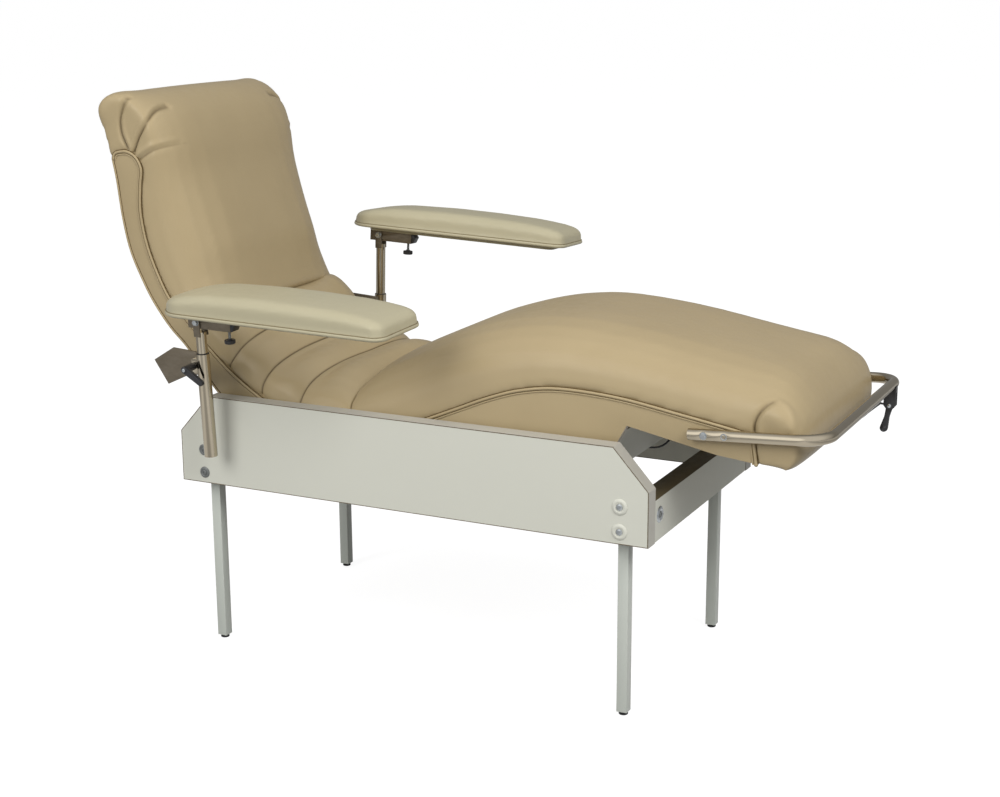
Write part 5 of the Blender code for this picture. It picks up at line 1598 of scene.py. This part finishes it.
    def build_rail_end(self) -> None:
        """Make the rail's pointed cap and the lock screw with its ribbed knob."""
        cap = plate(self.own, self.rail_cap, -self.rail_cap_width / 2, self.rail_cap_width, bevel=1.2)
        self.add(cap, "rail_end_cap", Finishes.NYLON, "black_plastic", "rail_cap")
        screw = self.own @ Matrix.Translation(Vector((self.screw_at, 0, 0)) * MM)
        thread = [(0, self.screw_ends[0])]
        for turn in range(self.screw_turns):
            crest = self.screw_start + self.screw_pitch * turn
            thread += [(self.screw_crest, crest), (self.screw_root, crest + self.screw_pitch / 2)]
        thread.append((0, self.screw_ends[1]))
        self.add(lathe(thread, screw, 20), "lock_screw_thread", Finishes.ZINC, "zinc", "lock_screw",
                 stands=False, sharp=60)
        knob = lathe(self.knob, screw, 72, ridges=18, dent=0.07)
        self.add(knob, "lock_screw_knob", Finishes.NYLON, "black_plastic", "lock_screw")

    def build_clamp(self) -> None:
        """Make the clamp's lever on its hub, with the screw through the sleeve's ears."""
        place = self.clamp_axes
        hub = lathe(self.hub, place, 32)
        down = radians(self.lever_down) * self.side.value
        way, beside = Vector((cos(down), sin(down), 0)), Vector((-sin(down), cos(down), 0))
        tip_radius, hub_radius = self.lever_ends
        outline = []
        for reach, radius, start in ((self.lever_reach, tip_radius, -0.5), (0, hub_radius, 0.5)):
            for step in range(9):
                turn = (start + step / 8) * pi
                point = way * (reach + radius * cos(turn)) + beside * (radius * sin(turn))
                outline.append(place @ ((point + Vector((0, 0, self.lever_low))) * MM))
        thick = place.to_3x3() @ Vector((0, 0, self.lever_thick * MM))
        arm = slab(outline, thick, self.lever_rounding * MM, 3)
        self.add(merged([hub, arm]), "clamp_handle", Finishes.NYLON, "black_plastic", "clamp_lever")
        tip = lathe(self.clamp_tip, place, 24)
        shaft = lathe(rod(radius=4, low=-7, high=8), place, 20)
        nut = lathe(self.clamp_nut, place, 6)
        self.add(merged([tip, shaft, nut]), "clamp_screw", Finishes.ZINC, "zinc", "clamp_lever", stands=False,
                 sharp=25)

    def build(self) -> None:
        """Build the arm's pieces."""
        self.build_pad()
        self.build_sleeve()
        self.build_post()
        self.build_rail_end()
        self.build_clamp()


@dataclass(frozen=True)
class Trim:
    """CAD pieces that keep their shape and get rounded edges: a word in their names, and how they look."""

    word: str
    finish: Finish
    slot: str
    rounding: float


# The first row whose word is in a name counts
TRIMS = (
    Trim("_leg", Finishes.LEG_PAINT, "leg_paint", 1.8),
    Trim("lift_rail", Finishes.LEG_PAINT, "leg_paint", 1.5),
    Trim("cross_bar", Finishes.LEG_PAINT, "leg_paint", 1.5),
    Trim("glide", Finishes.NYLON, "black_plastic", 0.6),
    Trim("arm_bracket", Finishes.BRONZED, "bronze_steel", 0.9),
    Trim("cross_tube", Finishes.BRONZED, "bronze_steel", 2.5),
    Trim("lever_bracket", Finishes.NYLON, "black_plastic", 0.9),
    Trim("release_lever", Finishes.NYLON, "black_plastic", 1.8),
    Trim("arm_rail", Finishes.BRONZED, "chrome", 1.4),
    Trim("barrel", Finishes.ENAMEL, "black_paint", 0.8),
    Trim("spring_rod", Finishes.NICKEL, "chrome", 0.5),
    Trim("pivot_bracket", Finishes.ZINC, "zinc", 0.8),
    Trim("stop_block", Finishes.RUBBER, "rubber", 2.0),
    Trim("arm_board", Finishes.ARM_VINYL, "arm_vinyl", 2.0),
    Trim("back_panel", Finishes.VINYL, "vinyl", 2.5),
    Trim("under_panel", Finishes.VINYL, "vinyl", 2.5),
    Trim("bush", Finishes.NYLON, "black_plastic", 0.4),
)


def round_trim() -> None:
    """Put a copy with rounded edges over each CAD piece of the trim list."""
    for name in list(frame["nodes"]):
        trim = next((row for row in TRIMS if row.word in name), None)
        if trim:
            add_piece(softened(name, trim.rounding * MM), name + "_rounded", trim.finish, body_of(name),
                      (name,))


@dataclass
class Studio:
    """Camera, lamps, floor and background.

    The bed's bright metal sees its own background: a slope of light along mirror_way, brighter in a
    window, and a floor with waves of light. Each span of values is mapped to the level of its name.
    """

    place: Point = (1.84705, -3.7135, 1.6629)
    yaw: float = 26.307
    pitch: float = 14.08
    roll: float = -0.307
    lens: float = 62.685
    sensor: float = 36.0
    aim: Point = (0, 0, 0.7)
    sky: float = 0.46
    mirror_way: Point = (0.35, -0.72, 0.60)
    mirror_span: tuple[float, float] = (0.0, 0.75)
    mirror_level: tuple[float, float] = (0.26, 0.85)
    window_way: Point = (-0.29, -0.83, 0.47)
    window_span: tuple[float, float] = (0.84, 0.98)
    window_level: tuple[float, float] = (0.0, 0.55)
    floor_size: float = 90.0
    floor_grey: float = 0.90
    floor_wave: Point = (2.2, 0.5, 0)
    wave_span: tuple[float, float] = (-0.6, 0.9)
    wave_level: tuple[float, float] = (0.08, 0.5)
    glow: float = 1.25
    glow_share: float = 0.70

    def build_camera(self) -> None:
        """Set the camera at the photograph's viewing angle."""
        yaw, pitch, roll = radians(self.yaw), radians(self.pitch), radians(self.roll)
        ahead = Vector((-sin(yaw) * cos(pitch), cos(yaw) * cos(pitch), -sin(pitch)))
        level = Vector((cos(yaw), sin(yaw), 0))
        right = cos(roll) * level + sin(roll) * level.cross(ahead)
        data = bpy.data.cameras.new("camera")
        data.lens = self.lens
        data.sensor_width = self.sensor
        data.sensor_fit = "HORIZONTAL"
        data.clip_end = 200.0
        camera = new_object("camera", data)
        matrix = Matrix((right, right.cross(ahead), -ahead)).transposed().to_4x4()
        matrix.translation = Vector(self.place)
        camera.matrix_world = matrix
        bpy.context.scene.camera = camera

    def add_lamp(self, name: str, place: Point, size: float, watts: float) -> None:
        """Add a square soft box that faces the bed."""
        data = bpy.data.lights.new(name, "AREA")
        data.size = size
        data.energy = watts
        lamp = new_object(name, data)
        lamp.visible_glossy = False
        lamp.location = place
        lamp.rotation_mode = "QUATERNION"
        lamp.rotation_quaternion = (Vector(self.aim) - Vector(place)).to_track_quat("-Z", "Y")

    def build_lamps(self) -> None:
        """Light the bed from the near side, the foot end and above."""
        self.add_lamp("key_box", (-1.6, -5.2, 3.6), size=3.2, watts=210)
        self.add_lamp("foot_box", (4.4, -2.4, 4.8), size=3.0, watts=285)
        self.add_lamp("top_box", (0.4, 0.6, 5.0), size=3.0, watts=12)

    @staticmethod
    def rays(tree: Tree) -> tuple[Socket, Socket]:
        """Return which rays are mirrored ones, and which come from the camera, through glass too."""
        path = add_node(tree, "LightPath", {}).outputs
        seen = maths(tree, "MAXIMUM", path["Is Camera Ray"], path["Is Transmission Ray"])
        return path["Is Glossy Ray"], seen

    def build_world(self) -> None:
        """Make a white background that lights the bed evenly and is darker low down in its bright metal."""
        world = bpy.data.worlds.new("studio")
        bpy.context.scene.world = world
        world.use_nodes = True
        tree = world.node_tree
        tree.nodes.clear()
        glossy, seen = self.rays(tree)
        way = add_node(tree, "TexCoord", {}).outputs["Generated"]
        slope = ramp(tree, dot(tree, way, self.mirror_way), self.mirror_span, self.mirror_level)
        window = ramp(tree, dot(tree, way, self.window_way), self.window_span, self.window_level,
                      interpolation_type="SMOOTHSTEP")
        mirror = maths(tree, "ADD", slope, window)
        lit = add_node(tree, "Mix", {0: glossy, 2: self.sky, 3: mirror}).outputs[0]
        level = add_node(tree, "Mix", {0: seen, 2: lit, 3: 1.0}).outputs[0]
        shade = add_node(tree, "Background", {"Color": (1, 1, 1, 1), "Strength": level}).outputs[0]
        add_node(tree, "OutputWorld", {"Surface": shade})

    def build_floor(self) -> None:
        """Lay a pale floor that keeps the bed's shadow."""
        mesh = bmesh.new()
        bmesh.ops.create_grid(mesh, x_segments=1, y_segments=1, size=self.floor_size)
        data = to_data(mesh, "floor")
        floor = new_object("floor", data)
        look = bpy.data.materials.new("white_floor")
        look.use_nodes = True
        tree = look.node_tree
        tree.nodes.clear()
        glossy, seen = self.rays(tree)
        place = add_node(tree, "TexCoord", {}).outputs["Object"]
        wave = maths(tree, "SINE", dot(tree, place, self.floor_wave))
        card = ramp(tree, wave, self.wave_span, self.wave_level)
        level = maths(tree, "MULTIPLY", maths(tree, "MULTIPLY_ADD", glossy, card, seen), self.glow)
        grey = (self.floor_grey, self.floor_grey, self.floor_grey, 1)
        matt = add_node(tree, "BsdfDiffuse", {"Color": grey}).outputs[0]
        glow = add_node(tree, "Emission", {"Color": (1, 1, 1, 1), "Strength": level}).outputs[0]
        both = add_node(tree, "MixShader", {0: self.glow_share, 1: matt, 2: glow}).outputs[0]
        add_node(tree, "OutputMaterial", {"Surface": both})
        data.materials.append(look)

    def build(self) -> None:
        """Build the studio."""
        bpy.context.scene.view_settings.view_transform = "Standard"
        self.build_camera()
        self.build_lamps()
        self.build_world()
        self.build_floor()


def dress_frame() -> None:
    """Give every CAD node that stays as it is its finish."""
    words = (("panel", Finishes.LAMINATE), ("front_wall", Finishes.LAMINATE), ("deck", Finishes.PLYWOOD))
    for name, node in frame["nodes"].items():
        finish = next((value for word, value in words if word in name), Finishes.NYLON)
        for slot in node.material_slots:
            slot.material = FINISHES.of(finish)


def main() -> None:
    """Build the studio and every sub-assembly."""
    logging.basicConfig(level=logging.INFO, format="%(message)s")
    Studio().build()
    dress_frame()
    ReleaseGear().build()
    Lounge().build()
    PanelFrame().build()
    FootHandle().build()
    for side in Side:
        ArmRest(side).build()
    round_trim()
    bpy.context.view_layer.update()


if __name__ == "__main__":
    main()
